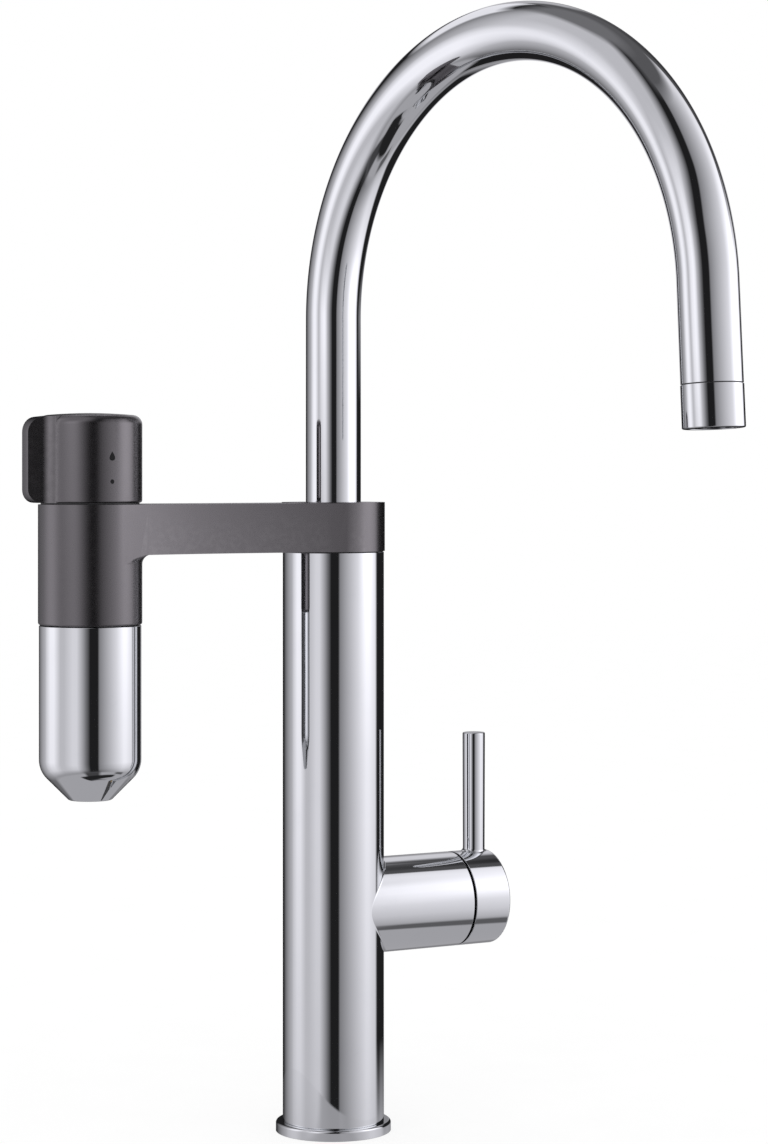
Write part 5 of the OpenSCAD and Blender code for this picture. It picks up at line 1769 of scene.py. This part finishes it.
@dataclass
class Studio:
    """Camera, surroundings, lamp and floor; softboxes add to the light of the tent and cards cover it."""

    camera_at: tuple[float, float, float] = (-649.3, -1157.5, 287.5)
    heading: float = -30.4
    lens: float = 96.0
    sensor: float = 36.0
    shift: tuple[float, float] = (-0.0074, -0.0905)
    clip: tuple[float, float] = (0.05, 50.0)
    light_level: float = 0.85
    lamp_power: float = 3.0
    lamp_size: tuple[float, float] = (1.6, 1.2)
    lamp_at: tuple[float, float, float] = (-1.0, -0.9, 1.7)
    lamp_aim: tuple[float, float, float] = (0.0, 0.0, 0.2)
    tent_height: float = 240.0
    tent_radius: float = 650.0
    dark: float = 0.015
    lean: float = 11.0
    lean_from: float = 26.0
    lean_to: float = 42.0
    tint: Colour = (1.0, 0.985, 1.035)
    worktop_rings: tuple[float, ...] = (17.5, 60.0, 400.0, 4000.0)
    worktop_columns: int = 96
    worktop_z: float = -0.02
    worktop_tone: tuple[float, float] = (0.24, 0.25)
    worktop_plain: float = 0.8
    worktop_front: tuple[float, float] = (0.84, 0.97)
    worktop_glow: float = 0.79
    worktop_near: float = 107.0
    worktop_aside: float = 55.0
    worktop_level: float = 0.40
    worktop_blur: float = 0.003
    softboxes: tuple[Panel, ...] = (
        Panel((12, 16, 175, 190), (-60, -30, 190, 200), 0.20),
        Panel((13, 80, 88, 190), (-75, -4, 14, 130), 0.95),
        Panel((58, 74, 92, 110), (-12, 2, 26, 52), 0.24),
        Panel((60, 76, 98, 114), (-4, 5, 14, 28), 0.20),
        Panel((-150, -100, -30, -4), (-60, -30, 190, 200), 0.58),
        Panel((-55, -38, -30, -12), (-40, -16, 24, 48), 0.20),
        Panel((-106, -88, -78, -63), (-44, -4, 16, 56), 0.50),
        Panel((-62, -50, -36, -24), (2, 12, 20, 42), 0.34),
    )
    cards: tuple[Panel, ...] = (
        Panel((95, 99, 150, 164), (20, 34, 190, 200), 0.085),
        Panel((110, 117, 126, 138), (-34, -28, 44, 60), 0.03),
        Panel((118, 120, 166, 173), (-34, -28, 8, 22), 0.015),
        Panel((-181, -178, -150, -146), (-40, -32, 8, 22), 0.015),
        Panel((158, 166, 190, 200), (6, 14, 46, 56), 0.72),
        Panel((-200, -190, -172, -160), (6, 14, 34, 40), 0.72),
        Panel((-5, 15, 190, 200), (57, 63, 190, 200), 0.11),
        Panel(EVERYWHERE, (71, 79, 190, 200), 0.18),
        Panel((-200, -190, -140, -130), (46, 51, 66, 71), 0.92),
        Panel((140, 148, 190, 200), (40, 48, 60, 66), 0.5),
        Panel(EVERYWHERE, (-200, -190, -48, -42), 0.42),
        Panel((60, 72, 92, 100), (-55, -53, -48, -45), 0.12),
        Panel((-24, -16, 12, 22), (-66, -60, -46, -36), 0.06),
        Panel((-42, -36, 68, 78), (-82, -77, -59, -55), 0.018),
    )

    def camera(self) -> None:
        """Makes the camera at the photograph's place."""
        data = bpy.data.cameras.new("camera")
        data.lens, data.sensor_width = self.lens, self.sensor
        data.shift_x, data.shift_y = self.shift
        data.clip_start, data.clip_end = self.clip
        made = add_object("camera", data)
        made.location = [v * MM for v in self.camera_at]
        made.rotation_euler = (math.pi / 2, 0.0, math.radians(self.heading))
        bpy.context.scene.camera = made

    def surroundings(self) -> None:
        """Makes the world: white to the camera, plain light to everything else."""
        world = bpy.data.worlds.new("studio")
        w = blank_sheet(world)
        camera = w.node("ShaderNodeLightPath").outputs["Is Camera Ray"]
        strength = w.remap(camera, 0, 1, self.light_level, 1.0, False)
        light = w.node("ShaderNodeBackground", {"Color": (1, 1, 1, 1), "Strength": strength})
        w.node("ShaderNodeOutputWorld", {"Surface": light.outputs[0]})
        bpy.context.scene.world = world

    def from_camera(self, s: Sheet, x: Socket, y: Socket) -> tuple[Socket, Socket]:
        """Measures a direction in the camera's terms.

        Args:
            s: The sheet to add the nodes to.
            x: The direction's X.
            y: The direction's Y.

        Returns:
            How far it points towards the camera, and how far to the right.
        """
        turn = math.radians(-self.heading)
        ahead = (math.sin(turn), math.cos(turn))
        toward = s.times(s.plus(s.times(x, ahead[0]), s.times(y, ahead[1])), -1.0)
        return toward, s.minus(s.times(x, ahead[1]), s.times(y, ahead[0]))

    def panel_group(self) -> Group:
        """Builds the group that gives the brightness of the studio in a direction from the tap.

        Returns:
            The group.
        """
        group = Group("studio_panels", "ShaderNodeTree", {"Direction": (0.0, 0.0, 0.0)}, ["Level"])
        s = group.sheet
        x, y, z = s.split(s.node("ShaderNodeVectorMath", {0: group.given["Direction"]},
                                 operation="NORMALIZE").outputs[0])
        toward, right = self.from_camera(s, x, y)
        height = s.math("DEGREES", s.math("ARCSINE", z))
        azimuth = s.minus(s.math("DEGREES", s.math("ARCTAN2", right, toward)),
                          s.remap(height, self.lean_from, self.lean_to, 0, self.lean))
        level: Value = self.dark
        for panel in (*self.softboxes, *self.cards):
            change = panel.level if panel in self.softboxes else s.minus(panel.level, level)
            weight: Value = 1.0
            for value, (start, full, fade, end) in ((azimuth, panel.across), (height, panel.up)):
                for low, high, a, b in ((start, full, 0, 1), (fade, end, 1, 0)):
                    if abs(low) < NO_EDGE:
                        weight = s.times(weight, s.remap(value, low, high, a, b, False))
            level = s.plus(level, s.times(weight, change))
        s.feed(group.result["Level"], level)
        return group

    def tent(self) -> None:
        """Makes the ball of softboxes and black cards round the tap, which only mirrors see."""
        shape = bmesh.new()
        bmesh.ops.create_icosphere(shape, subdivisions=5, radius=self.tent_radius * MM)
        bmesh.ops.translate(shape, verts=shape.verts, vec=(0, 0, self.tent_height * MM))
        bmesh.ops.reverse_faces(shape, faces=shape.faces)
        mesh = bpy.data.meshes.new("light_tent")
        shape.to_mesh(mesh)
        shape.free()
        made = add_object("light_tent", mesh)
        material = bpy.data.materials.new("light_tent")
        s = blank_sheet(material)
        place = s.node("ShaderNodeTexCoord").outputs["Object"]
        centre = (0.0, 0.0, -self.tent_height * MM)
        direction = s.node("ShaderNodeMapping", {"Vector": place, "Location": centre}).outputs[0]
        level = self.panel_group().place(s, {"Direction": direction})["Level"]
        glow = s.node("ShaderNodeEmission", {"Color": (*self.tint, 1), "Strength": level})
        s.node("ShaderNodeOutputMaterial", {"Surface": glow.outputs[0]})
        material.cycles.emission_sampling = "NONE"
        mesh.materials.append(material)
        for seen in ("camera", "diffuse", "shadow", "volume_scatter"):
            setattr(made, f"visible_{seen}", False)

    def lamp(self) -> None:
        """Makes one broad soft lamp from above the left, which mirrors don't show."""
        data = bpy.data.lights.new("soft_lamp", "AREA")
        data.shape, data.energy = "RECTANGLE", self.lamp_power
        data.size, data.size_y = self.lamp_size
        made = add_object("soft_lamp", data)
        made.location = self.lamp_at
        aim = Vector(self.lamp_aim) - Vector(made.location)
        made.rotation_euler = aim.to_track_quat("-Z", "Y").to_euler()
        made.visible_glossy = False

    def worktop_shader(self, s: Sheet) -> None:
        """Sets what each kind of ray sees of the worktop.

        Args:
            s: The sheet of its material.
        """
        place = s.node("ShaderNodeTexCoord").outputs["Object"]
        tone = s.remap(s.noise(place, 30.0, 4.0, 0.6), 0.3, 0.7, *self.worktop_tone)
        matt = s.node("ShaderNodeBsdfDiffuse", {"Color": s.join(tone, tone, tone)})
        glow = s.node("ShaderNodeEmission", {"Color": (1, 1, 1, 1), "Strength": self.worktop_glow})
        white = s.node("ShaderNodeAddShader", {0: matt.outputs[0], 1: glow.outputs[0]})
        plain = s.node("ShaderNodeBsdfDiffuse", {"Color": (*[self.worktop_plain] * 3, 1)})
        clear = s.node("ShaderNodeBsdfTransparent")
        near = s.node("ShaderNodeEmission", {"Color": (*self.tint, 1), "Strength": self.worktop_level})
        edge, aside, blur = self.worktop_near * MM, self.worktop_aside * MM, self.worktop_blur
        x, y, _ = s.split(place)
        toward, right = self.from_camera(s, x, y)
        reach, patch = (s.node("ShaderNodeVectorMath", {0: vector}, operation="LENGTH").outputs["Value"]
                        for vector in (place, s.join(s.plus(right, aside), toward, 0.0)))
        front = s.remap(s.over(toward, reach), *self.worktop_front, 0.1, 0.9)
        close = s.times(s.remap(patch, edge - blur, edge + blur, 1, 0), front)
        path = s.node("ShaderNodeLightPath").outputs
        back = s.node("ShaderNodeNewGeometry").outputs["Backfacing"]

        def either(share: Socket, a: bpy.types.Node, b: bpy.types.Node) -> bpy.types.Node:
            """Mixes two shaders."""
            return s.node("ShaderNodeMixShader", {0: share, 1: a.outputs[0], 2: b.outputs[0]})

        top = either(path["Is Camera Ray"], plain, white)
        seen = either(path["Is Glossy Ray"], top, either(close, clear, near))
        s.node("ShaderNodeOutputMaterial", {"Surface": either(back, seen, clear).outputs[0]})

    def floor(self) -> None:
        """Makes the pale worktop, seen from above only, with the hole that the shank passes."""
        columns, radii = self.worktop_columns, np.array(self.worktop_rings)[:, None, None]
        ray = Frame().around(np.linspace(0, 2 * math.pi, columns, endpoint=False))
        skin = Skin()
        skin.patch(radii * ray[None] + np.array([0, 0, self.worktop_z]),
                   np.tile([0.0, 0.0, 1.0], (len(radii), columns, 1)))
        made = skin.object("worktop")
        material = bpy.data.materials.new("worktop")
        self.worktop_shader(blank_sheet(material))
        material.cycles.emission_sampling = "NONE"
        made.data.materials.append(material)

    def build(self) -> None:
        """Makes the whole studio."""
        for make in (self.camera, self.surroundings, self.tent, self.lamp, self.floor):
            make()
        bpy.context.scene.view_settings.view_transform = "Standard"


def main() -> None:
    """Builds every sub-assembly, then the studio."""
    logging.basicConfig(level=logging.INFO, format="%(name)s: %(message)s")
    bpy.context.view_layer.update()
    Finish.effects = Effects()
    for assembly in (Column(), HubCover(), Lever(), Spout(), FilterUnit(), Fixing(), MixingCartridge()):
        LOG.info("building %s", type(assembly).__name__)
        assembly.build()
    Studio().build()


if __name__ == "__main__":
    main()
